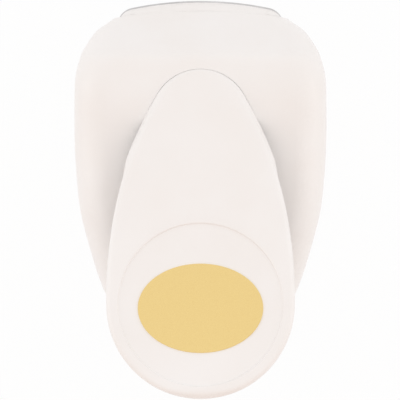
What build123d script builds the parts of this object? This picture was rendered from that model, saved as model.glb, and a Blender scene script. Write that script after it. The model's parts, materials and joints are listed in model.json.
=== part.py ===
from build123d import *
from math import cos, pi, radians, sin, tan
import os

os.makedirs("parts", exist_ok=True)

# Lever craft punch, in millimetres. +Z is up, the paper slot is at -Y, the thumb pad at +Y.
# The origin is the centre of the footprint, on the surface that the punch stands on.

# Body: outline, height and wall of the casing that the shell and the tray share
body_front_y = -78.0
body_length = 143.0
body_width = 105.8
body_height = 46.0
body_wall = 2.4
body_draft = 1.0
crown_deg = 3.6
shoulder_radius = 14.0
front_face_y = -76.5
front_face_radius = 230.0
cheek_radius = 2.2
edge_break = 1.0

# Paper slot and die set
split_z = 13.0
slot_gap = 1.6
throat_end_y = -10.0
plate_thickness = 2.5
plate_end_y = 10.0
plate_fit = 0.3
beak_front_y = -80.3
beak_half_width = 34.6
beak_arc_radius = 140.0
beak_corner_radius = 7.5
beak_edge = 1.8
beak_height = 6.2
beak_inset = 3.6
tongue_overhang = 0.9
tongue_root_y = -64.0
jaw_setback = 1.4
jaw_height = 7.0
jaw_inset = 4.0

# The punched oval, its die and the male die
oval_width = 50.0
oval_length = 36.0
punch_y = -32.1
punch_fit = 0.06
punch_height = 8.5
punch_rest_gap = 0.7
punch_shear = 0.9

# Carrier, its posts and springs
stroke = 5.0
carrier_width = 70.0
carrier_length = 37.0
carrier_thickness = 3.0
carrier_corner = 5.0
post_inset_x = 5.0
post_inset_y = 5.5
post_radius = 2.0
post_fit = 0.05
post_tip = 0.8
cup_radius = 5.2
cup_bore_radius = 3.9
cup_seat_z = 27.6
cup_top_wall = 1.8
cup_skirt = 1.3
clip_gap = 0.3
clip_thickness = 0.8
clip_width = 1.7
spring_wire = 0.9
spring_radius = 3.15
spring_turns = 4.5
spring_samples = 36
pad_width = 15.0
pad_length = 12.0

# Lever: pivot, pressure bar, outline and skirt
pivot_y = -58.0
pivot_z = 30.0
pin_radius = 2.5
pin_fit = 0.05
bar_radius = 3.0
bar_rest_gap = 0.25
lever_tilt_deg = 11.0
nose_y = -51.0
nose_z = 46.6
nose_radius = 19.9
nose_turn_deg = 60.0
nose_floor_z = 37.5
lever_root_z = 34.0
lever_end_y = 43.29
lever_end_radius = 38.7
lever_draft_deg = 2.0
lever_wall = 2.2
lever_roof = 4.8
lever_edge_radius = 2.4
lever_crest_y = 76.3
lever_back_y = 82.2
lever_back_drop = 8.0
lever_gap = 0.35
lever_headroom = 30.0
lever_rib_x = 20.0
lever_rib_y = 36.0
lever_rib_length = 76.0
lever_rib_drop = 3.0
waist_y = -20.3
waist_half_width = 27.5
hip_y = 5.5
hip_half_width = 35.1
skirt_mid_y = -34.0
skirt_mid_z = 42.0
skirt_heel_y = -14.0
skirt_heel_z = 49.2
skirt_waist_y = 20.0
skirt_waist_z = 50.3
skirt_pad_y = 50.0
skirt_pad_z = 52.5
skirt_end_y = 83.0
skirt_end_z = 57.0
opening_end_y = -14.0
opening_floor_z = 20.0
opening_corner_radius = 1.0
slot_corner_radius = 2.5
collar_wall = 1.6
collar_floor_z = 36.5
stop_rib_y = -54.0
stop_rib_thickness = 2.0
channel_slot_end_y = 21.0
channel_slot_half_width = 12.8

# Thumb dish and its oval label
dish_radius = 32.9
dish_step = 0.6
dish_sag = 1.8
label_shift = 1.3
label_thickness = 0.4

# Lever frame, a pressed steel channel
channel_width = 20.0
channel_sheet = 1.5
channel_eye_radius = 6.0
channel_boss_radius = 4.5
channel_arm_top_z = 36.0
channel_arm_floor_z = 28.0
channel_front_y = -44.5
channel_front_step = 1.5
channel_knee_y = 20.0
channel_knee_z = 49.0
channel_end_y = 48.0
channel_end_height = 3.5

# Hinge bracket
bracket_sheet = 2.0
bracket_gap = 0.3
bracket_front_y = -66.5
bracket_back_y = -52.5

# Tray
tray_floor = 2.2
chute_ease = 1.0
chute_wall = 2.0
rib_thickness = 1.6
rib_spacing = 30.0
rib_end_y = 55.0

# Screws and rivets
screw_radius = 1.5
screw_head_radius = 2.8
screw_head_height = 1.6
screw_boss_radius = 4.0
rivet_radius = 1.5
rivet_head_radius = 2.6
rivet_head_height = 1.0
rivet_spacing_x = 14.0
rivet_spacing_y = 9.0
carrier_screw_inset = 8.0
carrier_screw_radius = 2.0
carrier_screw_head_radius = 3.5
carrier_screw_head_height = 2.0
carrier_screw_depth = 5.0
side_screw_inset = 14.6
die_screw_front_y = -50.0
die_screw_back_y = 2.0
guide_screw_y = -60.0
shell_screw_inset = 30.6
shell_screw_y = 42.0
bracket_screw_spacing_x = 9.0
bracket_screw_spacing_y = 7.5
lever_screw_front_y = -38.0
lever_screw_back_y = 2.0
lever_screw_x = 4.5
screw_seat_z = 2.0
screw_bite = 4.0
overrun = 5.0

# How a turned piece stands on its plane: on its foot, or hung below its head
foot_align = (Align.CENTER, Align.CENTER, Align.MIN)
head_align = (Align.CENTER, Align.CENTER, Align.MAX)

# Levels that follow from the sizes above
half_width = body_width / 2
side_screw_x = half_width - side_screw_inset
shell_screw_x = half_width - shell_screw_inset
post_spacing_x = carrier_width - 2 * post_inset_x
post_spacing_y = carrier_length - 2 * post_inset_y
carrier_screw_x = oval_width / 2 - carrier_screw_inset
die_floor_z = split_z - plate_thickness
slot_roof_z = split_z + slot_gap
guide_top_z = slot_roof_z + plate_thickness
punch_floor_z = slot_roof_z + punch_rest_gap
punch_top_z = punch_floor_z + punch_height
carrier_top_z = punch_top_z + carrier_thickness
cup_top_z = cup_seat_z + cup_top_wall
bar_z = pivot_z + stroke / 2
bar_y = punch_y
pad_top_z = bar_z - bar_radius - bar_rest_gap
tilt = radians(lever_tilt_deg)
channel_half_width = channel_width / 2

# Stations of the casing from the front to the tail: place along the length, half width, height of
# the top, radius of the shoulder, and how far the slope thickens the roof. All are shares.
station_shares = [
    (0.0000, 0.627, 0.400, 0.25, 1.70),
    (0.0315, 0.705, 0.535, 0.57, 1.70),
    (0.0525, 0.784, 0.623, 0.74, 1.70),
    (0.0760, 0.848, 0.719, 0.87, 1.65),
    (0.1120, 0.913, 0.861, 0.97, 1.50),
    (0.1610, 0.964, 0.984, 1.00, 1.15),
    (0.2310, 0.994, 1.000, 1.00, 1.00),
    (0.3710, 0.999, 0.917, 1.00, 1.00),
    (0.5450, 0.972, 0.813, 0.93, 1.00),
    (0.7200, 0.864, 0.700, 0.86, 1.00),
    (0.8600, 0.722, 0.613, 0.71, 1.00),
    (0.9300, 0.583, 0.567, 0.62, 1.00),
    (0.9700, 0.453, 0.536, 0.50, 1.15),
    (0.9900, 0.330, 0.500, 0.36, 1.60),
    (1.0000, 0.200, 0.450, 0.25, 1.70),
]
station_count = 27
inner_front_share = 0.0525
inner_back_share = 0.955


def lever_top_z(y):
    """Height of the lever's top plane above the point y."""
    return nose_z + (y - nose_y) * tan(tilt)


def lever_plane(y, depth):
    """The lever's sloped plane through the point y, sunk by depth."""
    sunk_z = lever_top_z(y) - depth / cos(tilt)
    return Plane(origin=(0, y, sunk_z), x_dir=(1, 0, 0), z_dir=(0, -sin(tilt), cos(tilt)))


def knot_slope(index, column):
    """Slope of one column of the station table at a row, level where the column turns."""
    rows = station_shares[max(index - 1, 0):index + 2]
    rises = [(high[column] - low[column]) / (high[0] - low[0]) for low, high in zip(rows, rows[1:])]
    if min(rises) * max(rises) <= 0:
        return 0
    return len(rises) / sum(1 / rise for rise in rises)


def station_at(place):
    """The casing's section at a share of its length, read off smooth curves through the table."""
    index = max(row for row in range(len(station_shares) - 1) if station_shares[row][0] <= place)
    low, high = station_shares[index], station_shares[index + 1]
    span = high[0] - low[0]
    along = (place - low[0]) / span
    section = []
    for column in range(1, len(low)):
        rise = high[column] - low[column]
        start = knot_slope(index, column) * span
        end = knot_slope(index + 1, column) * span
        bend = start + end - 2 * rise
        section.append(low[column] + along * (start + along * (rise - start - bend + along * bend)))
    return section


def casing_form(inset, front_share, back_share):
    """The casing's outer form, drawn in by inset on its sides, shoulders and roof."""
    lean = radians(crown_deg)
    half_turn = (radians(90) - lean) / 2
    with BuildPart() as form:
        for station in range(station_count):
            spread = (1 - cos(pi * station / (station_count - 1))) / 2
            place = front_share + (back_share - front_share) * spread
            width, height, shoulder, slope = station_at(place)
            station_y = body_front_y + place * body_length
            foot_x = width * half_width - inset
            side_x = foot_x - body_draft
            top_z = height * body_height - inset * slope
            bend = shoulder * shoulder_radius - inset
            crown_x = side_x - bend + bend * sin(lean)
            crown_z = top_z - crown_x * tan(lean / 2)
            bend_z = crown_z - bend * cos(lean)
            middle_x = side_x - bend + bend * cos(half_turn)
            middle_z = bend_z + bend * sin(half_turn)
            with BuildSketch(Plane.XZ.offset(-station_y)):
                with BuildLine():
                    Line((-foot_x, 0), (foot_x, 0))
                    Line((foot_x, 0), (side_x, bend_z))
                    ThreePointArc((side_x, bend_z), (middle_x, middle_z), (crown_x, crown_z))
                    ThreePointArc((crown_x, crown_z), (0, top_z), (-crown_x, crown_z))
                    ThreePointArc((-crown_x, crown_z), (-middle_x, middle_z), (-side_x, bend_z))
                    Line((-side_x, bend_z), (-foot_x, 0))
                make_face()
        loft()
    return form.part


def slab(low_y, high_y, low_z, high_z):
    """A block across the whole width, between two places and two heights."""
    with BuildPart() as block:
        with BuildSketch(Plane.XY.offset(low_z)):
            with Locations((0, (low_y + high_y) / 2)):
                Rectangle(2 * body_width, high_y - low_y)
        extrude(amount=high_z - low_z)
    return block.part


def beak_outline(front_y, side_x, back_y, corner):
    """Plan of the slot's beak: a shallow arc with rounded corners and straight sides."""
    with BuildSketch(Plane.XY) as plan:
        with BuildLine():
            bow = beak_arc_radius - (beak_arc_radius ** 2 - side_x ** 2) ** (1 / 2)
            ThreePointArc((-side_x, front_y + bow), (0, front_y), (side_x, front_y + bow))
            Line((side_x, front_y + bow), (side_x, back_y))
            Line((side_x, back_y), (-side_x, back_y))
            Line((-side_x, back_y), (-side_x, front_y + bow))
        make_face()
        fillet(plan.vertices().group_by(Axis.Y)[0], corner)
    return plan.sketch


def lever_outline(grow):
    """Plan of the lever at its root: nose arc, flared sides and the round end."""
    nose_arc = nose_radius + grow
    end_arc = lever_end_radius + grow
    nose_centre_y = nose_y + nose_radius
    turn = radians(nose_turn_deg)
    shoulder = (nose_arc * sin(turn), nose_centre_y - nose_arc * cos(turn))
    with BuildSketch(Plane.XY) as plan:
        with BuildLine():
            ThreePointArc(
                (0, nose_centre_y - nose_arc),
                (nose_arc * sin(turn / 2), nose_centre_y - nose_arc * cos(turn / 2)),
                shoulder,
            )
            Spline(
                shoulder,
                (waist_half_width + grow, waist_y),
                (hip_half_width + grow, hip_y),
                (end_arc, lever_end_y),
                tangents=[(cos(turn), sin(turn)), (0, 1)],
            )
            ThreePointArc(
                (end_arc, lever_end_y),
                (end_arc * sin(radians(45)), lever_end_y + end_arc * cos(radians(45))),
                (0, lever_end_y + end_arc),
            )
            mirror(about=Plane.YZ)
        make_face()
    return plan.sketch


def oval(width, length):
    """An ellipse over the die's centre."""
    with BuildSketch(Plane.XY) as plan:
        with Locations((0, punch_y)):
            Ellipse(width / 2, length / 2)
    return plan.sketch


def grid_places(middle_y, step_x, step_y, columns, rows):
    """Places of a grid of like pieces, centred across the part at middle_y."""
    return [
        ((column - (columns - 1) / 2) * step_x, middle_y + (row - (rows - 1) / 2) * step_y)
        for column in range(columns)
        for row in range(rows)
    ]


def ring(inner, outer, thickness, planes):
    """Flat rings on a list of planes, as one group."""
    with BuildPart() as rings:
        for place in planes:
            with BuildSketch(place):
                Circle(outer)
                Circle(inner, mode=Mode.SUBTRACT)
            extrude(amount=thickness)
    return rings.part


# Shared forms
outer_casing = casing_form(0, 0, 1)
inner_casing = casing_form(body_wall, inner_front_share, inner_back_share)
plate_casing = casing_form(body_wall + plate_fit, inner_front_share, inner_back_share)
boss_casing = casing_form(body_wall / 2, inner_front_share, inner_back_share)

# The whole body before it is split: the casing cut to the bowed front face, its corners rounded
front_side_y = front_face_y + front_face_radius - (front_face_radius ** 2 - body_width ** 2) ** (1 / 2)

with BuildPart() as outer_body:
    add(outer_casing)
    with BuildSketch(Plane.XY):
        with BuildLine():
            ThreePointArc((-body_width, front_side_y), (0, front_face_y), (body_width, front_side_y))
            Line((body_width, front_side_y), (body_width, body_length))
            Line((body_width, body_length), (-body_width, body_length))
            Line((-body_width, body_length), (-body_width, front_side_y))
        make_face()
    extrude(amount=body_height + overrun, mode=Mode.INTERSECT)
    cheek_edges = outer_body.faces().sort_by(Axis.Y)[0].edges().sort_by(Axis.X)
    fillet([cheek_edges[0], cheek_edges[-1]], cheek_radius)
    fillet(outer_body.faces().sort_by(Axis.Z)[0].edges(), edge_break)

# Top shell
shell_screw_places = [(-shell_screw_x, shell_screw_y), (shell_screw_x, shell_screw_y)]
guide_screw_places = [(-side_screw_x, guide_screw_y), (side_screw_x, guide_screw_y)]
beak_inner_front_y = beak_front_y + beak_inset
beak_inner_half_width = beak_half_width - beak_inset
beak_inner_corner = beak_corner_radius - beak_inset / 2

# Screw bosses, the rib that stops the lever at the top and the collar that hangs round the lever's
# opening, all ending inside the shell's roof
stop_rib_z = channel_arm_top_z + clip_gap

with BuildPart() as shell_ribs:
    with BuildSketch(Plane.XY.offset(split_z)):
        with Locations(*shell_screw_places):
            Circle(screw_boss_radius)
            Circle(screw_radius, mode=Mode.SUBTRACT)
    extrude(amount=body_height)
    with BuildSketch(Plane.XY.offset(guide_top_z)):
        with Locations(*guide_screw_places):
            Circle(screw_boss_radius)
            Circle(screw_radius, mode=Mode.SUBTRACT)
    extrude(amount=body_height)
    with BuildSketch(Plane.XY.offset(stop_rib_z)):
        with Locations((0, stop_rib_y)):
            Rectangle(channel_width + 2 * stop_rib_thickness, stop_rib_thickness)
    extrude(amount=body_height)
    with BuildSketch(Plane.XY.offset(collar_floor_z)):
        add(lever_outline(lever_gap + collar_wall))
        with Locations((0, opening_end_y + body_length / 2)):
            Rectangle(body_width, body_length, mode=Mode.SUBTRACT)
    extrude(amount=body_height)
    add(boss_casing, mode=Mode.INTERSECT)

with BuildPart() as top_shell:
    add(outer_body.part)
    add(slab(-body_length, body_length, split_z, body_height + overrun), mode=Mode.INTERSECT)
    with BuildSketch(Plane.XY.offset(slot_roof_z)):
        add(beak_outline(beak_front_y, beak_half_width, tongue_root_y, beak_corner_radius))
    extrude(amount=beak_edge)
    with BuildSketch(Plane.XY.offset(slot_roof_z + beak_edge)):
        add(beak_outline(beak_front_y, beak_half_width, tongue_root_y, beak_corner_radius))
    with BuildSketch(Plane.XY.offset(slot_roof_z + beak_height)):
        add(beak_outline(beak_inner_front_y, beak_inner_half_width, tongue_root_y, beak_inner_corner))
    loft(ruled=True)
    add(inner_casing, mode=Mode.SUBTRACT)
    add(slab(-body_length, throat_end_y, 0, slot_roof_z), mode=Mode.SUBTRACT)
    add(shell_ribs.part)
    with BuildSketch(Plane.XY.offset(opening_floor_z)) as lever_opening:
        add(lever_outline(lever_gap))
        with Locations((0, opening_end_y + body_length / 2)):
            Rectangle(body_width, body_length, mode=Mode.SUBTRACT)
        with Locations((0, (nose_y + nose_radius + channel_slot_end_y) / 2)):
            Rectangle(2 * channel_slot_half_width, channel_slot_end_y - nose_y - nose_radius)
        rear_corners = lever_opening.vertices().sort_by(Axis.Y)[-6:]
        fillet(rear_corners.sort_by(lambda corner: abs(corner.X))[-2:], opening_corner_radius)
        slot_corners = lever_opening.vertices().sort_by(Axis.Y)[-8:]
        fillet(slot_corners.sort_by(lambda corner: abs(corner.X))[:4], slot_corner_radius)
    extrude(amount=body_height, mode=Mode.SUBTRACT)
top_shell.part.label = "top_shell"
export_step(top_shell.part, "parts/top_shell.step")

# Die plate, with the tongue that shows at the mouth of the slot
die_screw_places = [
    (-side_screw_x, die_screw_front_y),
    (side_screw_x, die_screw_front_y),
    (-side_screw_x, die_screw_back_y),
    (side_screw_x, die_screw_back_y),
]
rivet_middle_y = (throat_end_y + plate_end_y) / 2
rivet_places = grid_places(rivet_middle_y, rivet_spacing_x, rivet_spacing_y, 4, 2)
tongue_front_y = beak_front_y - tongue_overhang

with BuildPart() as die_plate:
    add(plate_casing)
    add(slab(-body_length, plate_end_y, die_floor_z, split_z), mode=Mode.INTERSECT)
    with BuildSketch(Plane.XY.offset(die_floor_z)):
        add(beak_outline(tongue_front_y, beak_half_width, tongue_root_y, beak_corner_radius))
    extrude(amount=plate_thickness)
    with BuildSketch(Plane.XY.offset(die_floor_z)):
        add(oval(oval_width, oval_length))
    extrude(amount=plate_thickness, mode=Mode.SUBTRACT)
    with BuildSketch(Plane.XY.offset(die_floor_z)):
        with Locations(*die_screw_places):
            Circle(screw_radius)
        with Locations(*rivet_places):
            Circle(rivet_radius)
    extrude(amount=plate_thickness, mode=Mode.SUBTRACT)
die_plate.part.label = "die_plate"
export_step(die_plate.part, "parts/die_plate.step")

# Guide plate, the roof of the slot
post_places = grid_places(punch_y, post_spacing_x, post_spacing_y, 2, 2)
bracket_middle_y = (bracket_front_y + bracket_back_y) / 2
bracket_places = grid_places(bracket_middle_y, bracket_screw_spacing_x, bracket_screw_spacing_y, 2, 2)

with BuildPart() as guide_plate:
    add(plate_casing)
    add(slab(-body_length, plate_end_y, slot_roof_z, guide_top_z), mode=Mode.INTERSECT)
    with BuildSketch(Plane.XY.offset(slot_roof_z)):
        add(oval(oval_width, oval_length))
        with Locations(*post_places):
            Circle(post_radius)
        with Locations(*rivet_places):
            Circle(rivet_radius)
        with Locations(*bracket_places):
            Circle(screw_radius)
        with Locations(*guide_screw_places):
            Circle(screw_radius)
    extrude(amount=plate_thickness, mode=Mode.SUBTRACT)
    with Locations(Plane.XY.offset(slot_roof_z)):
        with Locations(*guide_screw_places):
            Cone(screw_head_radius, screw_radius, screw_head_height, align=foot_align, mode=Mode.SUBTRACT)
guide_plate.part.label = "guide_plate"
export_step(guide_plate.part, "parts/guide_plate.step")

# Back stop, the spacer between the plates where the paper ends
with BuildPart() as back_stop:
    add(plate_casing)
    add(slab(throat_end_y, plate_end_y, split_z, slot_roof_z), mode=Mode.INTERSECT)
    with BuildSketch(Plane.XY.offset(split_z)):
        with Locations(*rivet_places):
            Circle(rivet_radius)
    extrude(amount=slot_gap, mode=Mode.SUBTRACT)
back_stop.part.label = "back_stop"
export_step(back_stop.part, "parts/back_stop.step")

# Lever cover: a deep inverted tub under the sloped top, open below
def lever_tub(grow, floor_z):
    """The lever's drafted outline as a solid, before its top and skirt are cut."""
    shrink = lever_headroom * 2 * tan(radians(lever_draft_deg))
    with BuildPart() as tub:
        with BuildSketch(Plane.XY.offset(floor_z)):
            add(lever_outline(grow))
        with BuildSketch(Plane.XY.offset(floor_z + 2 * lever_headroom)):
            add(lever_outline(grow - shrink))
        loft(ruled=True)
    return tub.part


lever_front_y = nose_y - overrun
back_drop_z = lever_top_z(lever_crest_y) - lever_back_drop
roof_z = lever_roof / cos(tilt)
roof_end_y = lever_crest_y - lever_roof
web_z = roof_z + channel_sheet / cos(tilt)
dish_y = lever_end_y
dish_place = lever_plane(dish_y, 0).location

# Seats of the four screws on the underside of the channel's web, facing down
lever_screw_seats = [
    Plane(
        origin=(screw_x, screw_y, lever_top_z(screw_y) - web_z),
        x_dir=(1, 0, 0),
        z_dir=(0, sin(tilt), -cos(tilt)),
    )
    for screw_x in (-lever_screw_x, lever_screw_x)
    for screw_y in (lever_screw_front_y, lever_screw_back_y)
]

# The dish is a low step round a shallow bowl, cut square to the sloped top
with BuildPart() as dish_tool:
    with BuildSketch(Plane.XZ):
        with BuildLine():
            Line((0, overrun), (dish_radius, overrun))
            Line((dish_radius, overrun), (dish_radius, -dish_step))
            SagittaArc((dish_radius, -dish_step), (-dish_radius, -dish_step), dish_sag)
            Line((-dish_radius, -dish_step), (-dish_radius, overrun))
            Line((-dish_radius, overrun), (0, overrun))
        make_face()
        with Locations((-body_width / 2, 0)):
            Rectangle(body_width, body_width, mode=Mode.SUBTRACT)
    revolve(axis=Axis.Z)

with BuildPart() as lever_ribs:
    with BuildSketch(Plane.XY.offset(lever_root_z)):
        with Locations((-lever_rib_x, lever_rib_y), (lever_rib_x, lever_rib_y)):
            Rectangle(rib_thickness, lever_rib_length)
        with Locations((0, lever_rib_y + lever_rib_length / 4)):
            Rectangle(2 * lever_end_radius, rib_thickness)
    extrude(amount=2 * lever_headroom)
    add(lever_tub(-lever_wall / 2, lever_root_z), mode=Mode.INTERSECT)
    with BuildSketch(Plane.YZ):
        with BuildLine():
            Polyline(
                (0, lever_top_z(0) - roof_z / 2),
                (roof_end_y, lever_top_z(roof_end_y) - roof_z / 2),
                (skirt_end_y, skirt_end_z + lever_rib_drop),
                (skirt_waist_y, skirt_waist_z + lever_rib_drop),
                (0, lever_top_z(0) - roof_z),
                (0, lever_top_z(0) - roof_z / 2),
            )
        make_face()
    extrude(amount=body_width, both=True, mode=Mode.INTERSECT)
    with BuildSketch(Plane.XY.offset(lever_root_z)):
        with Locations((0, 0)):
            Rectangle(channel_width + 2 * lever_gap, 2 * (channel_end_y + lever_gap))
    extrude(amount=2 * lever_headroom, mode=Mode.SUBTRACT)

with BuildPart() as lever_cavity:
    add(lever_tub(-lever_wall, lever_root_z))
    with BuildSketch(Plane.YZ):
        with BuildLine():
            Polyline(
                (lever_front_y, 0),
                (lever_front_y, lever_top_z(lever_front_y) - roof_z),
                (roof_end_y, lever_top_z(roof_end_y) - roof_z),
                (lever_back_y, back_drop_z - roof_z),
                (lever_back_y, 0),
                (lever_front_y, 0),
            )
        make_face()
    extrude(amount=body_width, both=True, mode=Mode.INTERSECT)

with BuildPart() as lever_cover:
    add(lever_tub(0, lever_root_z))
    with BuildSketch(Plane.YZ):
        with BuildLine():
            Line((lever_front_y, nose_floor_z), (lever_front_y, lever_top_z(lever_front_y)))
            top_line = Line(
                (lever_front_y, lever_top_z(lever_front_y)),
                (lever_crest_y, lever_top_z(lever_crest_y)),
            )
            TangentArc(top_line @ 1, (lever_back_y, back_drop_z), tangent=top_line % 1)
            Line((lever_back_y, back_drop_z), (skirt_end_y, back_drop_z))
            Line((skirt_end_y, back_drop_z), (skirt_end_y, skirt_end_z))
            Spline(
                (skirt_end_y, skirt_end_z),
                (skirt_pad_y, skirt_pad_z),
                (skirt_waist_y, skirt_waist_z),
                (skirt_heel_y, skirt_heel_z),
                (skirt_mid_y, skirt_mid_z),
                (lever_front_y, nose_floor_z),
            )
        make_face()
    extrude(amount=body_width, both=True, mode=Mode.INTERSECT)
    sloped_top = lever_cover.faces().filter_by(GeomType.PLANE).sort_by(SortBy.AREA)[-1]
    back_roll = lever_cover.faces().filter_by(GeomType.CYLINDER).sort_by(Axis.Y)[-1]
    rim_edges = (sloped_top.edges() + back_roll.edges()).filter_by(Axis.X, reverse=True)
    fillet(rim_edges, lever_edge_radius)
    add(lever_cavity.part, mode=Mode.SUBTRACT)
    add(lever_ribs.part)
    add(dish_tool.part.moved(dish_place), mode=Mode.SUBTRACT)
    with Locations(*lever_screw_seats):
        Cylinder(screw_radius, screw_bite, align=head_align, mode=Mode.SUBTRACT)
lever_cover.part.label = "lever_cover"
export_step(lever_cover.part, "parts/lever_cover.step")

# Oval label that lies on the floor of the dish
with BuildPart() as shape_label:
    with BuildSketch(Plane.XZ):
        with BuildLine():
            label_top = label_thickness - dish_step
            SagittaArc((dish_radius, -dish_step), (-dish_radius, -dish_step), dish_sag)
            Line((-dish_radius, -dish_step), (-dish_radius, label_top))
            SagittaArc((-dish_radius, label_top), (dish_radius, label_top), -dish_sag)
            Line((dish_radius, label_top), (dish_radius, -dish_step))
        make_face()
        with Locations((-body_width / 2, 0)):
            Rectangle(body_width, body_width, mode=Mode.SUBTRACT)
    revolve(axis=Axis.Z)
    with BuildSketch(Plane.XY.offset(-dish_radius)):
        with Locations((0, label_shift)):
            Ellipse(oval_width / 2, oval_length / 2)
    extrude(amount=2 * dish_radius, mode=Mode.INTERSECT)
shape_label.part = shape_label.part.moved(dish_place)
shape_label.part.label = "shape_label"
export_step(shape_label.part, "parts/shape_label.step")

# Lever frame: a channel whose two cheeks reach forward under the shell to the hinge pin
with BuildPart() as lever_frame:
    with BuildSketch(Plane.YZ):
        with Locations((pivot_y, pivot_z)):
            Circle(channel_eye_radius)
        with Locations((bar_y, bar_z)):
            Circle(channel_boss_radius)
        with BuildLine():
            Polyline(
                (pivot_y, channel_arm_top_z),
                (channel_front_y - channel_front_step, channel_arm_top_z),
                (channel_front_y, channel_arm_top_z + channel_front_step),
                (channel_front_y, lever_top_z(channel_front_y) - roof_z),
                (channel_end_y, lever_top_z(channel_end_y) - roof_z),
                (channel_end_y, lever_top_z(channel_end_y) - roof_z - channel_end_height),
                (channel_knee_y, channel_knee_z),
                (bar_y + channel_boss_radius, channel_arm_floor_z + channel_boss_radius),
                (bar_y, channel_arm_floor_z),
                (pivot_y + channel_boss_radius, channel_arm_floor_z),
                (pivot_y, channel_arm_top_z),
            )
        make_face()
    extrude(amount=channel_half_width, both=True)
    with BuildSketch(Plane.YZ):
        with BuildLine():
            Polyline(
                (-body_length, 0),
                (-body_length, lever_top_z(-body_length) - web_z),
                (body_length, lever_top_z(body_length) - web_z),
                (body_length, 0),
                (-body_length, 0),
            )
        make_face()
    extrude(amount=channel_half_width - channel_sheet, both=True, mode=Mode.SUBTRACT)
    with BuildSketch(Plane.YZ):
        with Locations((pivot_y, pivot_z)):
            Circle(pin_radius + pin_fit)
        with Locations((bar_y, bar_z)):
            Circle(bar_radius)
    extrude(amount=channel_half_width, both=True, mode=Mode.SUBTRACT)
    with Locations(*lever_screw_seats):
        Cylinder(screw_radius, screw_bite, align=head_align, mode=Mode.SUBTRACT)
lever_frame.part.label = "lever_frame"
export_step(lever_frame.part, "parts/lever_frame.step")

# Screws that hold the channel up against the lever's roof
with BuildPart() as lever_screws:
    with Locations(*lever_screw_seats):
        Cylinder(screw_head_radius, screw_head_height, align=foot_align)
        Cylinder(screw_radius, screw_bite, align=head_align)
lever_screws.part.label = "lever_screws"
export_step(lever_screws.part, "parts/lever_screws.step")

# Pressure bar and its end clips
bar_half_length = channel_half_width + clip_gap + clip_thickness + post_tip
with BuildPart() as pressure_bar:
    with BuildSketch(Plane.YZ):
        with Locations((bar_y, bar_z)):
            Circle(bar_radius)
    extrude(amount=bar_half_length, both=True)
    chamfer(pressure_bar.edges().filter_by(GeomType.CIRCLE), post_tip / 2)
pressure_bar.part.label = "pressure_bar"
export_step(pressure_bar.part, "parts/pressure_bar.step")


def end_planes(y, z, start_x):
    """Planes that face outwards on both sides of the part, centred on a cross shaft."""
    right = Plane(origin=(start_x, y, z), x_dir=(0, 1, 0), z_dir=(1, 0, 0))
    left = Plane(origin=(-start_x, y, z), x_dir=(0, 1, 0), z_dir=(-1, 0, 0))
    return [left, right]


with BuildPart() as bar_clips:
    clip_start_x = channel_half_width + clip_gap
    add(ring(bar_radius, bar_radius + clip_width, clip_thickness, end_planes(bar_y, bar_z, clip_start_x)))
bar_clips.part.label = "bar_clips"
export_step(bar_clips.part, "parts/bar_clips.step")

# Hinge bracket: two ears bent up from a foot that is screwed to the guide plate
ear_inner_x = channel_half_width + bracket_gap
ear_outer_x = ear_inner_x + bracket_sheet
foot_top_z = guide_top_z + bracket_sheet

with BuildPart() as hinge_bracket:
    with BuildSketch(Plane.YZ):
        with BuildLine():
            Polyline(
                (bracket_front_y, guide_top_z),
                (bracket_back_y, guide_top_z),
                (pivot_y + channel_eye_radius, pivot_z),
                (pivot_y - channel_eye_radius, pivot_z),
                (bracket_front_y, guide_top_z),
            )
        make_face()
        with Locations((pivot_y, pivot_z)):
            Circle(channel_eye_radius)
    extrude(amount=ear_outer_x, both=True)
    with BuildSketch(Plane.XY.offset(foot_top_z)):
        with Locations((0, bracket_middle_y)):
            Rectangle(2 * ear_inner_x, body_length)
    extrude(amount=body_height, mode=Mode.SUBTRACT)
    bend_edges = hinge_bracket.edges().filter_by(Axis.Y).group_by(Axis.Z)[0]
    fillet(bend_edges, bracket_sheet / 2)
    with BuildSketch(Plane.YZ):
        with Locations((pivot_y, pivot_z)):
            Circle(pin_radius)
    extrude(amount=ear_outer_x, both=True, mode=Mode.SUBTRACT)
    with BuildSketch(Plane.XY.offset(guide_top_z)):
        with Locations(*bracket_places):
            Circle(screw_radius)
    extrude(amount=bracket_sheet, mode=Mode.SUBTRACT)
hinge_bracket.part.label = "hinge_bracket"
export_step(hinge_bracket.part, "parts/hinge_bracket.step")

with BuildPart() as bracket_screws:
    with Locations(Plane.XY.offset(foot_top_z)):
        with Locations(*bracket_places):
            Cylinder(screw_head_radius, screw_head_height, align=foot_align)
            Cylinder(screw_radius, plate_thickness + bracket_sheet, align=head_align)
bracket_screws.part.label = "bracket_screws"
export_step(bracket_screws.part, "parts/bracket_screws.step")

# Hinge pin and its end clips
with BuildPart() as hinge_pin:
    with BuildSketch(Plane.YZ):
        with Locations((pivot_y, pivot_z)):
            Circle(pin_radius)
    extrude(amount=ear_outer_x + clip_gap + clip_thickness + post_tip, both=True)
    chamfer(hinge_pin.edges().filter_by(GeomType.CIRCLE), post_tip / 2)
hinge_pin.part.label = "hinge_pin"
export_step(hinge_pin.part, "parts/hinge_pin.step")

with BuildPart() as hinge_clips:
    clip_start_x = ear_outer_x + clip_gap
    add(ring(pin_radius, pin_radius + clip_width, clip_thickness, end_planes(pivot_y, pivot_z, clip_start_x)))
hinge_clips.part.label = "hinge_clips"
export_step(hinge_clips.part, "parts/hinge_clips.step")

# Male die, with a hollow-ground face that cuts from its two ends inwards
carrier_screw_places = [(-carrier_screw_x, punch_y), (carrier_screw_x, punch_y)]
shear_radius = (oval_width ** 2 / 4 + punch_shear ** 2) / (2 * punch_shear)

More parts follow.
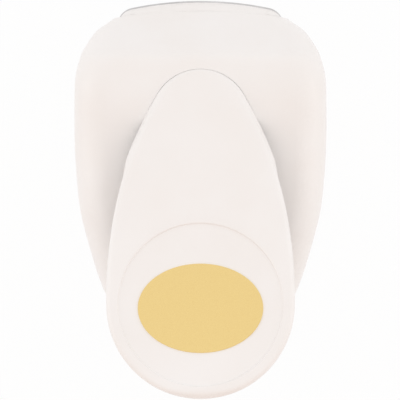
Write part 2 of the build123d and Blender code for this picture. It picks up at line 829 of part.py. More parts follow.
with BuildPart() as punch_block:
    with BuildSketch(Plane.XY.offset(punch_floor_z)):
        add(oval(oval_width - 2 * punch_fit, oval_length - 2 * punch_fit))
    extrude(amount=punch_height)
    with BuildSketch(Plane.XZ.offset(-punch_y)):
        with Locations((0, punch_floor_z + punch_shear - shear_radius)):
            Circle(shear_radius)
    extrude(amount=oval_length, both=True, mode=Mode.SUBTRACT)
    with BuildSketch(Plane.XY.offset(punch_top_z - carrier_screw_depth)):
        with Locations(*carrier_screw_places):
            Circle(carrier_screw_radius)
    extrude(amount=carrier_screw_depth, mode=Mode.SUBTRACT)
punch_block.part.label = "punch_block"
export_step(punch_block.part, "parts/punch_block.step")

# Carrier with a raised pad under the pressure bar and four spring cups
cup_floor_z = punch_top_z - cup_skirt

with BuildPart() as punch_carrier:
    with BuildSketch(Plane.XY.offset(punch_top_z)):
        with Locations((0, punch_y)):
            RectangleRounded(carrier_width, carrier_length, carrier_corner)
    extrude(amount=carrier_thickness)
    with BuildSketch(Plane.XY.offset(carrier_top_z)):
        with Locations((0, punch_y)):
            Rectangle(pad_width, pad_length)
    extrude(amount=pad_top_z - carrier_top_z)
    with BuildSketch(Plane.XY.offset(cup_floor_z)):
        with Locations(*post_places):
            Circle(cup_radius)
    extrude(amount=cup_top_z - cup_floor_z)
    with BuildSketch(Plane.XY.offset(cup_floor_z)):
        with Locations(*post_places):
            Circle(cup_bore_radius)
    extrude(amount=cup_seat_z - cup_floor_z, mode=Mode.SUBTRACT)
    with BuildSketch(Plane.XY.offset(cup_floor_z)):
        with Locations(*post_places):
            Circle(post_radius + post_fit)
        with Locations(*carrier_screw_places):
            Circle(carrier_screw_radius)
    extrude(amount=body_height, mode=Mode.SUBTRACT)
punch_carrier.part.label = "punch_carrier"
export_step(punch_carrier.part, "parts/punch_carrier.step")

with BuildPart() as carrier_screws:
    with Locations(Plane.XY.offset(carrier_top_z)):
        with Locations(*carrier_screw_places):
            Cylinder(carrier_screw_head_radius, carrier_screw_head_height, align=foot_align)
            Cylinder(carrier_screw_radius, carrier_thickness + carrier_screw_depth, align=head_align)
carrier_screws.part.label = "carrier_screws"
export_step(carrier_screws.part, "parts/carrier_screws.step")

# Posts that guide the carrier, and the rings that stop it at the top
post_top_z = cup_top_z + clip_gap + clip_thickness + post_tip

with BuildPart() as guide_posts:
    with BuildSketch(Plane.XY.offset(slot_roof_z)):
        with Locations(*post_places):
            Circle(post_radius)
    extrude(amount=post_top_z - slot_roof_z)
    chamfer(guide_posts.edges().group_by(Axis.Z)[-1], post_tip / 2)
guide_posts.part.label = "guide_posts"
export_step(guide_posts.part, "parts/guide_posts.step")

with BuildPart() as post_clips:
    with BuildSketch(Plane.XY.offset(cup_top_z + clip_gap)):
        with Locations(*post_places):
            Circle(post_radius + clip_width)
            Circle(post_radius, mode=Mode.SUBTRACT)
    extrude(amount=clip_thickness)
post_clips.part.label = "post_clips"
export_step(post_clips.part, "parts/post_clips.step")


# Return springs: one tube each on pairs of tangent arcs, half a turn at a time
def coil_point(centre, turn_share):
    """A point of the coil and its direction there, after a share of all its turns."""
    angle = 2 * pi * spring_turns * turn_share
    rise = cup_seat_z - guide_top_z - spring_wire
    floor_z = guide_top_z + spring_wire / 2
    place = Vector(
        centre[0] + spring_radius * cos(angle),
        centre[1] + spring_radius * sin(angle),
        floor_z + rise * turn_share,
    )
    heading = Vector(
        -spring_radius * sin(angle),
        spring_radius * cos(angle),
        rise / (2 * pi * spring_turns),
    )
    return place, heading.normalized()


def coil_path(centre):
    """The coil's line, made of two tangent arcs for each half turn."""
    steps = round(2 * spring_turns)
    with BuildLine() as line:
        for step in range(steps):
            start, start_way = coil_point(centre, step / steps)
            end, end_way = coil_point(centre, (step + 1) / steps)
            chord = end - start
            both_ways = start_way + end_way
            along = chord.dot(both_ways)
            spread = 4 - both_ways.dot(both_ways)
            reach = ((along ** 2 + spread * chord.dot(chord)) ** (1 / 2) - along) / spread
            first_knot = start + start_way * reach
            last_knot = end - end_way * reach
            joint = (first_knot + last_knot) * (1 / 2)
            TangentArc(start, joint, tangent=start_way)
            TangentArc(joint, end, tangent=last_knot - first_knot)
    return line.wire()


coil_places = {
    "return_spring_front_left": (-post_spacing_x / 2, punch_y - post_spacing_y / 2),
    "return_spring_front_right": (post_spacing_x / 2, punch_y - post_spacing_y / 2),
    "return_spring_rear_left": (-post_spacing_x / 2, punch_y + post_spacing_y / 2),
    "return_spring_rear_right": (post_spacing_x / 2, punch_y + post_spacing_y / 2),
}
for spring_name, spring_centre in coil_places.items():
    spring_start, spring_way = coil_point(spring_centre, 0)
    with BuildPart() as return_spring:
        with BuildSketch(Plane(origin=spring_start, z_dir=spring_way)):
            RegularPolygon(spring_wire / 2, 6)
        sweep(path=coil_path(spring_centre))
    return_spring.part.label = spring_name
    export_step(return_spring.part, f"parts/{spring_name}.step")
    print(spring_name, round(return_spring.part.volume, 3), return_spring.part.is_valid)

# Least gap between one turn and the next, measured on some samples of every turn
sample_count = round(spring_turns * spring_samples)
half_turn_samples = round(spring_samples / 2)
coil_points = [coil_point((0, 0), sample / sample_count)[0] for sample in range(sample_count + 1)]
least_reach = min(
    (coil_points[low] - coil_points[high]).length
    for low in range(sample_count + 1)
    for high in range(low + half_turn_samples, sample_count + 1)
)
print("least gap of a spring to itself, mm:", round(least_reach - spring_wire, 2))

# Rivets through both plates and the back stop, headed on both sides
with BuildPart() as plate_rivets:
    with Locations(Plane.XY.offset(die_floor_z)):
        with Locations(*rivet_places):
            Cylinder(rivet_radius, guide_top_z - die_floor_z, align=foot_align)
            Cylinder(rivet_head_radius, rivet_head_height, align=head_align)
    with Locations(Plane.XY.offset(guide_top_z)):
        with Locations(*rivet_places):
            Cylinder(rivet_head_radius, rivet_head_height, align=foot_align)
plate_rivets.part.label = "plate_rivets"
export_step(plate_rivets.part, "parts/plate_rivets.step")

# Tray that the punch stands on: floor, walls, chute under the die, ribs and screw posts
jaw_front_y = beak_front_y + jaw_setback
with BuildPart() as tray_inside:
    with BuildSketch(Plane.XY):
        add(oval(oval_width + 2 * (chute_ease + chute_wall), oval_length + 2 * (chute_ease + chute_wall)))
        with Locations((-rib_spacing / 2, 0), (rib_spacing / 2, 0)):
            Rectangle(rib_thickness, 2 * rib_end_y)
        with Locations(*die_screw_places):
            Circle(screw_boss_radius)
    extrude(amount=die_floor_z)
    with BuildSketch(Plane.XY):
        with Locations(*shell_screw_places):
            Circle(screw_boss_radius)
    extrude(amount=split_z)
    add(boss_casing, mode=Mode.INTERSECT)

with BuildPart() as inner_casing_above_floor:
    add(inner_casing)
    add(slab(-body_length, body_length, tray_floor, split_z), mode=Mode.INTERSECT)

with BuildPart() as base_frame:
    add(outer_body.part)
    add(slab(-body_length, body_length, 0, split_z), mode=Mode.INTERSECT)
    with BuildSketch(Plane.XY.offset(die_floor_z - jaw_height)):
        add(beak_outline(jaw_front_y + jaw_inset, beak_half_width - jaw_inset, tongue_root_y, beak_inner_corner))
    with BuildSketch(Plane.XY.offset(die_floor_z)):
        add(beak_outline(jaw_front_y, beak_half_width - jaw_setback, tongue_root_y, beak_corner_radius))
    loft(ruled=True)
    add(inner_casing_above_floor.part, mode=Mode.SUBTRACT)
    with BuildSketch(Plane.XY.offset(die_floor_z)):
        add(beak_outline(tongue_front_y, beak_half_width + plate_fit, tongue_root_y, beak_corner_radius))
    extrude(amount=plate_thickness, mode=Mode.SUBTRACT)
    add(tray_inside.part)
    with BuildSketch(Plane.XY):
        add(oval(oval_width + 2 * chute_ease, oval_length + 2 * chute_ease))
    extrude(amount=die_floor_z, mode=Mode.SUBTRACT)
    with BuildSketch(Plane.XY):
        with Locations(*die_screw_places, *shell_screw_places):
            Circle(screw_radius)
    extrude(amount=split_z, mode=Mode.SUBTRACT)
    with BuildSketch(Plane.XY):
        with Locations(*die_screw_places, *shell_screw_places):
            Circle(screw_head_radius + clip_gap)
    extrude(amount=screw_seat_z, mode=Mode.SUBTRACT)
base_frame.part.label = "base_frame"
export_step(base_frame.part, "parts/base_frame.step")

# Screws from below: four into the die plate, two into the shell's rear bosses
with BuildPart() as die_screws:
    with Locations(Plane.XY.offset(screw_seat_z)):
        with Locations(*die_screw_places):
            Cylinder(screw_head_radius, screw_head_height, align=head_align)
            Cylinder(screw_radius, split_z - screw_seat_z, align=foot_align)
die_screws.part.label = "die_screws"
export_step(die_screws.part, "parts/die_screws.step")

with BuildPart() as shell_screws:
    with Locations(Plane.XY.offset(screw_seat_z)):
        with Locations(*shell_screw_places):
            Cylinder(screw_head_radius, screw_head_height, align=head_align)
            Cylinder(screw_radius, split_z + screw_bite - screw_seat_z, align=foot_align)
shell_screws.part.label = "shell_screws"
export_step(shell_screws.part, "parts/shell_screws.step")

# Screws from the guide plate up into the shell's front bosses, flush with the slot's roof
with BuildPart() as guide_screws:
    with Locations(Plane.XY.offset(slot_roof_z)):
        with Locations(*guide_screw_places):
            Cone(screw_head_radius, screw_radius, screw_head_height, align=foot_align)
            Cylinder(screw_radius, plate_thickness + screw_bite, align=foot_align)
guide_screws.part.label = "guide_screws"
export_step(guide_screws.part, "parts/guide_screws.step")
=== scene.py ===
import json
import math

import bmesh
import bpy
import numpy as np
from bpy.props import FloatProperty, FloatVectorProperty, IntProperty, PointerProperty
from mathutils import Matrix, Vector
from mathutils.bvhtree import BVHTree
from mathutils.kdtree import KDTree


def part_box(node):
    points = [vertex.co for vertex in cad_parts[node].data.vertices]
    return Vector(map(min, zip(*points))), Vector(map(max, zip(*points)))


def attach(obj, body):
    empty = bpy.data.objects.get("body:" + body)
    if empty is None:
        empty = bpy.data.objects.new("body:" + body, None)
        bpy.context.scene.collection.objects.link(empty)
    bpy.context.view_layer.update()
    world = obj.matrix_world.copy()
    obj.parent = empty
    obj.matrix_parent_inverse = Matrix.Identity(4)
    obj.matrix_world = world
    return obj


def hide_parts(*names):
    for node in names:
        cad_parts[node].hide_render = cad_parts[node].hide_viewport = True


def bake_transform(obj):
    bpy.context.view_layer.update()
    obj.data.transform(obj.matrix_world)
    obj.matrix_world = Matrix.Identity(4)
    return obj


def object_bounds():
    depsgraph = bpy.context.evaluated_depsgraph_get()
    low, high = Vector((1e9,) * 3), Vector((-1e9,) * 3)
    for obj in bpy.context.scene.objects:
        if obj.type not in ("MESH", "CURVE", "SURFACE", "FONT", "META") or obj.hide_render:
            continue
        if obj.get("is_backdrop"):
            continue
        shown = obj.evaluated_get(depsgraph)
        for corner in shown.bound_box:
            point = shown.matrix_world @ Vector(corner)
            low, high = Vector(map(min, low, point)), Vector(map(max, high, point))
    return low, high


bl_info = {
    "name": "Lever craft punch",
    "version": (1, 0, 0),
    "blender": (4, 5, 0),
    "location": "View3D > Sidebar > Craft punch",
    "description": "Dresses the lever craft punch with skins and finishes, and sets its studio",
    "category": "Object",
}

# The frame of the CAD parts, and the box that they fill before anything is dressed
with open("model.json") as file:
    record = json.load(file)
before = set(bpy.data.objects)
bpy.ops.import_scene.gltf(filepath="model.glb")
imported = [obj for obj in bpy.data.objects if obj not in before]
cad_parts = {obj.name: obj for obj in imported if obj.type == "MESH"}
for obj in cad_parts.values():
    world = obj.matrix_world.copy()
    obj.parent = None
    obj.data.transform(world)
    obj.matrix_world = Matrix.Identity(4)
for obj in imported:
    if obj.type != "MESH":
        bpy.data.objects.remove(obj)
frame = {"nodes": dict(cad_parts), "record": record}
cad_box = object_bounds()

MM = 0.001

# Corners nearer to each other than this are one corner: in new meshes, and in the CAD's
WELD = 0.001 * MM
CAD_WELD = 0.002 * MM

# Sockets of a Mix node's colours, whose names its numbers and vectors also have
MIX_FIRST, MIX_SECOND, MIX_RESULT = 6, 7, 2

# The same for a Random Value node's largest number and its result
RANDOM_MOST, RANDOM_RESULT = 3, 1


# ---- values that a user may change
def size(label, description, millimetres):
    """A length property, given in millimetres and kept in metres."""
    return FloatProperty(
        name=label, description=description, default=millimetres * MM, unit="LENGTH", precision=5
    )


def angle(label, description, degrees):
    """An angle property, given in degrees."""
    turn = math.radians(degrees)
    return FloatProperty(name=label, description=description, default=turn, subtype="ANGLE")


def number(label, description, value, subtype="NONE"):
    """A number property that is neither a length nor an angle."""
    return FloatProperty(name=label, description=description, default=value, subtype=subtype)


def whole(label, description, value, subtype="NONE"):
    """A whole number property."""
    return IntProperty(name=label, description=description, default=value, subtype=subtype)


def display_colour(red, green, blue):
    """The linear colour that shows as an 8-bit display colour, by the sRGB curve."""
    shares = [value / 255 for value in (red, green, blue)]
    return tuple(s / 12.92 if s <= 0.04045 else ((s + 0.055) / 1.055) ** 2.4 for s in shares)


def colour(label, description, red, green, blue):
    """A colour property, given as it shows on a display."""
    tone = display_colour(red, green, blue)
    return FloatVectorProperty(
        name=label, description=description, default=tone, subtype="COLOR", min=0, max=1
    )


class LeverSizes(bpy.types.PropertyGroup):
    """Sizes of the lever's cover, its thumb dish and the oval label."""

    nose_y: size("Nose", "Place of the lever's nose along the punch", -51)
    nose_z: size("Nose height", "Height of the top plane over the nose", 46.59)
    nose_radius: size("Nose radius", "Radius of the nose in plan", 19.9)
    nose_turn: angle("Nose turn", "How far the nose's arc runs to each side", 60)
    waist_y: size("Waist", "Place of the waist", -20.3)
    waist_half_width: size("Waist half width", "Half width at the waist", 27.5)
    hip_y: size("Hip", "Place of the hip", 5.5)
    hip_half_width: size("Hip half width", "Half width at the hip", 35.1)
    end_y: size("End centre", "Centre of the round end and of the dish", 43.29)
    end_radius: size("End radius", "Radius of the round end", 38.7)
    root_z: size("Root height", "Height at which the plan is measured", 34)
    tilt: angle("Tilt", "Slope of the lever's top", 11)
    draft: angle("Draft", "Lean of the lever's walls", 2)
    neck: size("Neck", "How far the walls stand out where they sink into the shell", 0.29)
    neck_z: size("Neck height", "Height up to which the walls stand out", 45.8)
    neck_end_y: size("Neck end", "Where the walls have risen clear of the shell", -8)
    neck_fade: size("Neck fade", "Length over which the walls draw back in", 6)
    wall: size("Wall", "Thickness of the walls", 2.2)
    roof: size("Roof", "Thickness of the top", 4.8)
    edge: size("Edge radius", "Rounding of the top edge", 2.4)
    nose_edge: size("Nose edge radius", "Rounding of the top edge at the nose", 0.8)
    nose_edge_length: size("Nose edge length", "Length over which the nose's rounding grows", 10)
    foot_edge: size("Foot radius", "Rounding of the lower edge", 0.5)
    crest_y: size("Crest", "Where the top begins to roll over", 76.3)
    roll_y: size("Roll end", "Where the roll ends", 82.2)
    roll_drop: size("Roll drop", "How far the roll drops", 8)
    rib_thickness: size("Rib", "Thickness of the ribs under the top", 1.6)
    rib_root: size("Rib root", "How far the ribs reach into the top", 0.6)
    rib_x: size("Rib x", "Place of the two long ribs", 20)
    rib_start_y: size("Rib start", "Where the long ribs start", 1)
    rib_stop_y: size("Rib stop", "Where the long ribs end", 74)
    rib_cross_y: size("Cross rib", "Place of the cross rib", 55)
    rib_waist_y: size("Rib waist", "Where the ribs' lower edge bends", 20)
    rib_waist_z: size("Rib waist height", "Height of that bend", 53.3)
    rib_end_y: size("Rib end", "Where the ribs' lower edge ends", 83)
    rib_end_z: size("Rib end height", "Height of that end", 60)
    dish_radius: size("Dish radius", "Radius of the thumb dish", 32.9)
    dish_step: size("Dish step", "Depth of the dish's rim", 0.6)
    dish_sag: size("Dish sag", "Depth of the dish's bowl below its rim", 1.8)
    dish_lip: size("Dish lip", "Rounding of the dish's upper rim", 0.35)
    dish_toe: size("Dish toe", "Rounding at the foot of the dish's rim", 0.25)
    label_width: size("Label width", "Width of the oval label", 50)
    label_length: size("Label length", "Length of the oval label", 36)
    label_shift: size("Label shift", "How far the label sits towards the rear", 1.3)
    label_thickness: size("Label thickness", "Thickness of the label", 0.4)
    label_edge: size("Label edge", "Rounding of the label's edge", 0.12)


class PunchLooks(bpy.types.PropertyGroup):
    """Colours, roundings of the edges and the screws' seed."""

    shell_colour: colour("Shell", "Warm white of the shell and lever", 248, 247, 246)
    shell_shade: colour("Shell shade", "Second tone in the white's faint mottle", 246, 244, 242)
    tray_colour: colour("Tray", "Warm white of the tray", 246, 243, 240)
    tray_shade: colour("Tray shade", "Second tone of the tray", 243, 239, 235)
    label_colour: colour("Label", "Gold of the oval label", 245, 221, 150)
    label_shade: colour("Label grain", "Darker grain of the label", 236, 209, 139)
    plate_colour: colour("Plates", "Rolled steel plates", 222, 221, 221)
    sheet_colour: colour("Sheet", "Zinc plated sheet", 205, 207, 212)
    block_colour: colour("Male die", "Ground tool steel", 196, 197, 202)
    rod_colour: colour("Rods", "Ground rods and spring wire", 222, 223, 226)
    clip_colour: colour("Clips", "Dark spring steel clips", 112, 112, 118)
    tray_ease: size("Tray edge", "Rounding of the tray's sharp edges", 0.22)
    seed: whole("Seed", "Seed for how far each screw is turned", 7)
    shell_ease: size("Shell edge", "Rounding of the shell's sharp edges", 0.12)
    steel_ease: size("Steel edge", "Rounding of the steel pieces' edges", 0.1)


class StudioValues(bpy.types.PropertyGroup):
    """The camera, the lamps, the sky and the floor."""

    camera_height: size("Camera height", "Height of the camera over the table", 1200)
    camera_x: size("Camera x", "Where the camera hangs across the punch", 0.2)
    camera_y: size("Camera y", "Where the camera hangs along the punch", 1.75)
    focal_pixels: number("Focal length", "Focal length in pixels of the image", 2849)
    image_pixels: whole("Image", "Side of the image in pixels", 400, "PIXEL")
    sensor: number("Sensor", "Width of the sensor in millimetres", 36)
    sky: number("Sky", "Strength of the even light all round", 0.945)
    sky_front: colour("Sky in front", "Warm tone of the sky in front of the punch", 255, 249, 247)
    sky_rear: colour("Sky behind", "Warm tone of the sky behind the punch", 222, 198, 184)
    side_reach: size("Side lamp reach", "Distance of the side lamps from the middle", 1150)
    side_height: size("Side lamp height", "Height of the side lamps", 430)
    side_width: size("Side lamp width", "Width of the side lamps", 600)
    side_length: size("Side lamp length", "Length of the side lamps", 900)
    side_power: number("Side power", "Power of each side lamp", 1.4, "POWER")
    lamp_reach: size("Lamp reach", "How far behind the punch the softbox hangs", 350)
    lamp_height: size("Lamp height", "Height of the softbox", 450)
    lamp_width: size("Lamp width", "Width of the softbox", 300)
    lamp_length: size("Lamp length", "Length of the softbox", 200)
    lamp_power: number("Lamp power", "Power of the softbox", 0.1, "POWER")
    lamp_tone: colour("Lamp tone", "Warm tone of the softbox", 255, 196, 150)
    backdrop_share: number("Backdrop", "Share of plain white in the floor", 0.95, "FACTOR")
    floor_size: size("Floor", "Side of the floor", 3000)
    floor_drop: size("Floor drop", "How far the floor lies below the punch", 0.02)


# ---- materials
class NodeSheet:
    """The node tree of a material or world, and short ways to add the nodes that they share."""

    def __init__(self, owner):
        owner.use_nodes = True
        self.nodes, self.links = owner.node_tree.nodes, owner.node_tree.links

    def add(self, kind, **values):
        node = self.nodes.new(kind)
        for key, value in values.items():
            setattr(node, key, value)
        return node

    def spread(self, value, low, high, start=0.3, end=0.7):
        """The value's range from start to end, spread from low to high."""
        node = self.add("ShaderNodeMapRange")
        limits = (("From Min", start), ("From Max", end), ("To Min", low), ("To Max", high))
        for socket, limit in limits:
            node.inputs[socket].default_value = limit
        self.links.new(value, node.inputs["Value"])
        return node.outputs["Result"]

    def blend(self, factor, first, second):
        """A colour between two others, of which the first may be another node's output."""
        node = self.add("ShaderNodeMix", data_type="RGBA")
        self.links.new(factor, node.inputs["Factor"])
        if isinstance(first, bpy.types.NodeSocket):
            self.links.new(first, node.inputs[MIX_FIRST])
        else:
            node.inputs[MIX_FIRST].default_value = (*first, 1)
        node.inputs[MIX_SECOND].default_value = (*second, 1)
        return node.outputs[MIX_RESULT]

    def combine(self, operation, first, second):
        """One value worked out from two; the second is another node's output or a number."""
        node = self.add("ShaderNodeMath", operation=operation)
        self.links.new(first, node.inputs[0])
        if isinstance(second, bpy.types.NodeSocket):
            self.links.new(second, node.inputs[1])
        else:
            node.inputs[1].default_value = second
        return node.outputs[0]

    def mix_shaders(self, factor, first, second):
        """A shader between two others."""
        node = self.add("ShaderNodeMixShader")
        for socket, value in zip(node.inputs, (factor, first, second)):
            self.links.new(value, socket)
        return node.outputs[0]


class Finish(NodeSheet):
    """A procedural material whose patterns lie on the piece's own coordinates."""

    def __init__(self, name):
        self.material = bpy.data.materials.new(name)
        super().__init__(self.material)
        self.shader = self.nodes["Principled BSDF"]
        self.place = self.add("ShaderNodeTexCoord").outputs["Object"]

    def noise(self, scale, detail=2, stretch=(1, 1, 1)):
        """Noise that is drawn out along the piece's axes by stretch."""
        mapping = self.add("ShaderNodeMapping")
        mapping.inputs["Scale"].default_value = stretch
        self.links.new(self.place, mapping.inputs["Vector"])
        node = self.add("ShaderNodeTexNoise")
        node.inputs["Scale"].default_value = scale
        node.inputs["Detail"].default_value = detail
        self.links.new(mapping.outputs["Vector"], node.inputs["Vector"])
        return node.outputs["Fac"]

    def bump(self, height, distance, normal=None):
        """The surface's normal, tilted as the height says, on top of another normal if given."""
        node = self.add("ShaderNodeBump")
        node.inputs["Distance"].default_value = distance
        self.links.new(height, node.inputs["Height"])
        if normal is not None:
            self.links.new(normal, node.inputs["Normal"])
        return node.outputs["Normal"]

    def drive(self, socket, value):
        """Let another node's output set an input of the shader."""
        self.links.new(value, self.shader.inputs[socket])


def moulded_plastic(name, tone, shade, roughness):
    """Satin moulded plastic: a faint mottle, a very slight swell and a fine eroded grain."""
    mottle_scale, sheen_scale, swell_scale, grain_scale = 38, 800, 110, 3600
    swell_depth, grain_depth = 0.03 * MM, 0.006 * MM
    rough_reach = 0.05
    finish = Finish(name)
    mottle = finish.spread(finish.noise(mottle_scale, detail=3), 0, 1)
    finish.drive("Base Color", finish.blend(mottle, tone, shade))
    sheen = finish.noise(sheen_scale)
    finish.drive(
        "Roughness", finish.spread(sheen, roughness - rough_reach, roughness + rough_reach)
    )
    swell = finish.bump(finish.noise(swell_scale, detail=1), swell_depth)
    finish.drive("Normal", finish.bump(finish.noise(grain_scale), grain_depth, swell))
    return finish.material


def gold_paper(name, tone, shade):
    """Matte gold label paper with a very fine grain."""
    grain_scale, sheen_scale, grain_depth = 4200, 900, 0.012 * MM
    metallic, smoothest, roughest = 0.2, 0.46, 0.6
    finish = Finish(name)
    grain = finish.noise(grain_scale, detail=3)
    finish.drive("Base Color", finish.blend(finish.spread(grain, 0, 1), tone, shade))
    finish.shader.inputs["Metallic"].default_value = metallic
    finish.drive("Roughness", finish.spread(finish.noise(sheen_scale), smoothest, roughest))
    finish.drive("Normal", finish.bump(grain, grain_depth))
    return finish.material


def worked_steel(name, tone, roughness, scale, stretch, depth):
    """Steel whose grain runs one way, with a faint stain and edges worn bright."""
    stain_scale, stain_share, bright_share = 70, 0.8, 1.15
    edge_start, edge_end, most_wear = 0.52, 0.6, 0.6
    smoother, rougher = 0.06, 0.1
    finish = Finish(name)
    stain = tuple(channel * stain_share for channel in tone)
    bright = tuple(min(1, channel * bright_share) for channel in tone)
    patches = finish.spread(finish.noise(stain_scale, detail=3), 0, 1)
    base = finish.blend(patches, tone, stain)
    pointed = finish.add("ShaderNodeNewGeometry").outputs["Pointiness"]
    worn = finish.spread(pointed, 0, most_wear, edge_start, edge_end)
    finish.drive("Base Color", finish.blend(worn, base, bright))
    finish.shader.inputs["Metallic"].default_value = 1
    grain = finish.noise(scale, detail=4, stretch=stretch)
    finish.drive("Roughness", finish.spread(grain, roughness - smoother, roughness + rougher))
    finish.drive("Normal", finish.bump(grain, depth))
    return finish.material


def make_finishes(looks):
    """Every material of the punch, by its name."""
    # Colour, second tone and roughness
    plastics = {
        "shell_white": (looks.shell_colour, looks.shell_shade, 0.38),
        "tray_white": (looks.tray_colour, looks.tray_shade, 0.44),
    }
    # Colour, roughness, and the grain's scale, its stretch along each axis and its depth
    steels = {
        "plate_rolled": (looks.plate_colour, 0.34, 260, (1, 9, 9), 0.01 * MM),
        "sheet_zinc": (looks.sheet_colour, 0.38, 420, (1, 1, 1), 0.006 * MM),
        "block_ground": (looks.block_colour, 0.24, 500, (9, 1, 1), 0.005 * MM),
        "rod_ground": (looks.rod_colour, 0.16, 700, (1, 7, 7), 0.002 * MM),
        "clip_dark": (looks.clip_colour, 0.36, 600, (1, 1, 1), 0.004 * MM),
    }
    made = {name: moulded_plastic(name, *values) for name, values in plastics.items()}
    made["label_gold"] = gold_paper("label_gold", looks.label_colour, looks.label_shade)
    made.update((name, worked_steel(name, *values)) for name, values in steels.items())
    return made


# ---- meshes
def placed(name, data):
    """A new object in the scene."""
    piece = bpy.data.objects.new(name, data)
    bpy.context.scene.collection.objects.link(piece)
    return piece


def finished_mesh(name, verts, faces, material):
    """A welded, smooth mesh object with its faces turned outwards."""
    sharp_deg = 40
    mesh = bpy.data.meshes.new(name)
    mesh.from_pydata([tuple(vert) for vert in verts], [], faces)
    work = bmesh.new()
    work.from_mesh(mesh)
    bmesh.ops.remove_doubles(work, verts=work.verts, dist=WELD)
    bmesh.ops.recalc_face_normals(work, faces=work.faces)
    work.to_mesh(mesh)
    work.free()
    mesh.shade_smooth()
    mesh.set_sharp_from_angle(angle=math.radians(sharp_deg))
    if material is not None:
        mesh.materials.append(material)
    return placed(name, mesh)


def ring_faces(ring_count, around):
    """Quads between neighbouring rings of points, closed all round."""
    faces = []
    for ring in range(ring_count - 1):
        low, high = ring * around, (ring + 1) * around
        for step in range(around):
            after = (step + 1) % around
            faces.append((low + step, low + after, high + after, high + step))
    return faces


def closed_rings(name, rings, material, extra=()):
    """A closed skin through rings, its ends drawn to a point, with extra islands beside it."""
    around = len(rings[0])
    verts = np.concatenate(rings)
    faces = ring_faces(len(rings), around)
    ends = [rings[0].mean(axis=0), rings[-1].mean(axis=0)]
    verts = np.concatenate([verts, ends])
    first, last = len(verts) - 2, len(verts) - 1
    tail = (len(rings) - 1) * around
    for step in range(around):
        after = (step + 1) % around
        faces.append((first, after, step))
        faces.append((last, tail + step, tail + after))
    for island_verts, island_faces in extra:
        base = len(verts)
        verts = np.concatenate([verts, island_verts])
        faces += [tuple(base + corner for corner in face) for face in island_faces]
    return finished_mesh(name, verts, faces, material)


def quarter(radius, steps):
    """Steps along a quarter round, as pairs: how far in, and how far short of the end."""
    turns = np.linspace(0, math.pi / 2, steps)
    return [(radius * (1 - math.cos(turn)), radius * (1 - math.sin(turn))) for turn in turns]


def curve_through(knots, values, at):
    """A smooth curve through knots that never overshoots them, read at given places."""
    knots, values, at = (np.asarray(part, dtype=float) for part in (knots, values, at))
    rises = np.diff(values) / np.diff(knots)
    slopes = np.concatenate([[rises[0]], np.zeros(len(rises) - 1), [rises[-1]]])
    for index in range(1, len(rises)):
        if rises[index - 1] * rises[index] > 0:
            slopes[index] = 2 / (1 / rises[index - 1] + 1 / rises[index])
    index = np.clip(np.searchsorted(knots, at, side="right") - 1, 0, len(knots) - 2)
    span = knots[index + 1] - knots[index]
    along = np.clip((at - knots[index]) / span, 0, 1)
    rise = values[index + 1] - values[index]
    start, end = slopes[index] * span, slopes[index + 1] * span
    bend = start + end - 2 * rise
    return values[index] + along * (start + along * (rise - start - bend + along * bend))


def even_steps(line, count):
    """The same line with its points spread evenly along it."""
    reach = np.concatenate([[0], np.cumsum(np.linalg.norm(np.diff(line, axis=0), axis=1))])
    places = np.linspace(0, reach[-1], count)
    return np.column_stack([np.interp(places, reach, values) for values in line.T])


def crossings(work):
    """The places where a mesh passes through itself."""
    probe = work.copy()
    bmesh.ops.triangulate(probe, faces=probe.faces)
    probe.faces.ensure_lookup_table()
    tree = BVHTree.FromBMesh(probe)
    places = []
    for first, second in tree.overlap(tree):
        face, other = probe.faces[first], probe.faces[second]
        if first < second and set(face.verts).isdisjoint(other.verts):
            places.append(face.calc_center_median())
    probe.free()
    return places


def eased(work, ease, sharp_deg):
    """A copy with its sharp edges really rounded, but for those whose rounding would cross."""
    tries, barred_reach, far = 8, ease * 8, (1, 1, 1)
    limit = math.radians(sharp_deg)
    barred = []
    for _ in range(tries):
        trial = work.copy()
        tree = KDTree(len(barred) + 1)
        tree.insert(far, 0)
        for index, place in enumerate(barred):
            tree.insert(place, index + 1)
        tree.balance()
        edges = []
        for edge in trial.edges:
            if edge.is_manifold and edge.calc_face_angle(0) > limit:
                middle = (edge.verts[0].co + edge.verts[1].co) / 2
                if tree.find(middle)[2] > barred_reach:
                    edges.append(edge)
        bmesh.ops.bevel(
            trial, geom=edges, offset=ease, segments=2, profile=0.5, affect="EDGES",
            clamp_overlap=False,
        )
        crossed = crossings(trial)
        if not crossed:
            return trial
        barred += crossed
        trial.free()
    return work.copy()


def welded(node):
    """A CAD node's mesh with its loose triangles joined up, as a bmesh."""
    work = bmesh.new()
    work.from_mesh(frame["nodes"][node].data)
    bmesh.ops.remove_doubles(work, verts=work.verts, dist=CAD_WELD)
    return work


def eased_copy(node, name, material, ease, sharp_deg=35):
    """A welded copy of a CAD node's mesh with really rounded edges."""
    flat_deg = 0.4
    mesh = frame["nodes"][node].data.copy()
    work = welded(node)
    bmesh.ops.dissolve_degenerate(work, edges=work.edges, dist=WELD)
    bmesh.ops.dissolve_limit(
        work, angle_limit=math.radians(flat_deg), verts=work.verts, edges=work.edges
    )
    trial = eased(work, ease, sharp_deg)
    trial.to_mesh(mesh)
    trial.free()
    work.free()
    mesh.shade_smooth()
    mesh.materials.clear()
    mesh.materials.append(material)
    blank = placed(name + "_blank", mesh)
    weigh = blank.modifiers.new("weigh", "WEIGHTED_NORMAL")
    weigh.keep_sharp = False
    return baked(blank, name)


def baked(blank, name):
    """A plain mesh object of what a blank looks like with its modifiers; the blank goes."""
    bpy.context.view_layer.update()
    seen = blank.evaluated_get(bpy.context.evaluated_depsgraph_get())
    mesh = bpy.data.meshes.new_from_object(seen)
    mesh.name = name
    piece = placed(name, mesh)
    blank.modifiers.clear()
    bpy.data.objects.remove(blank)
    return piece


def body_of(node):
    """The moving body that a CAD node belongs to."""
    bodies = frame["record"]["behaviour"]["bodies"]
    return next(body for body, nodes in bodies.items() if node in nodes)


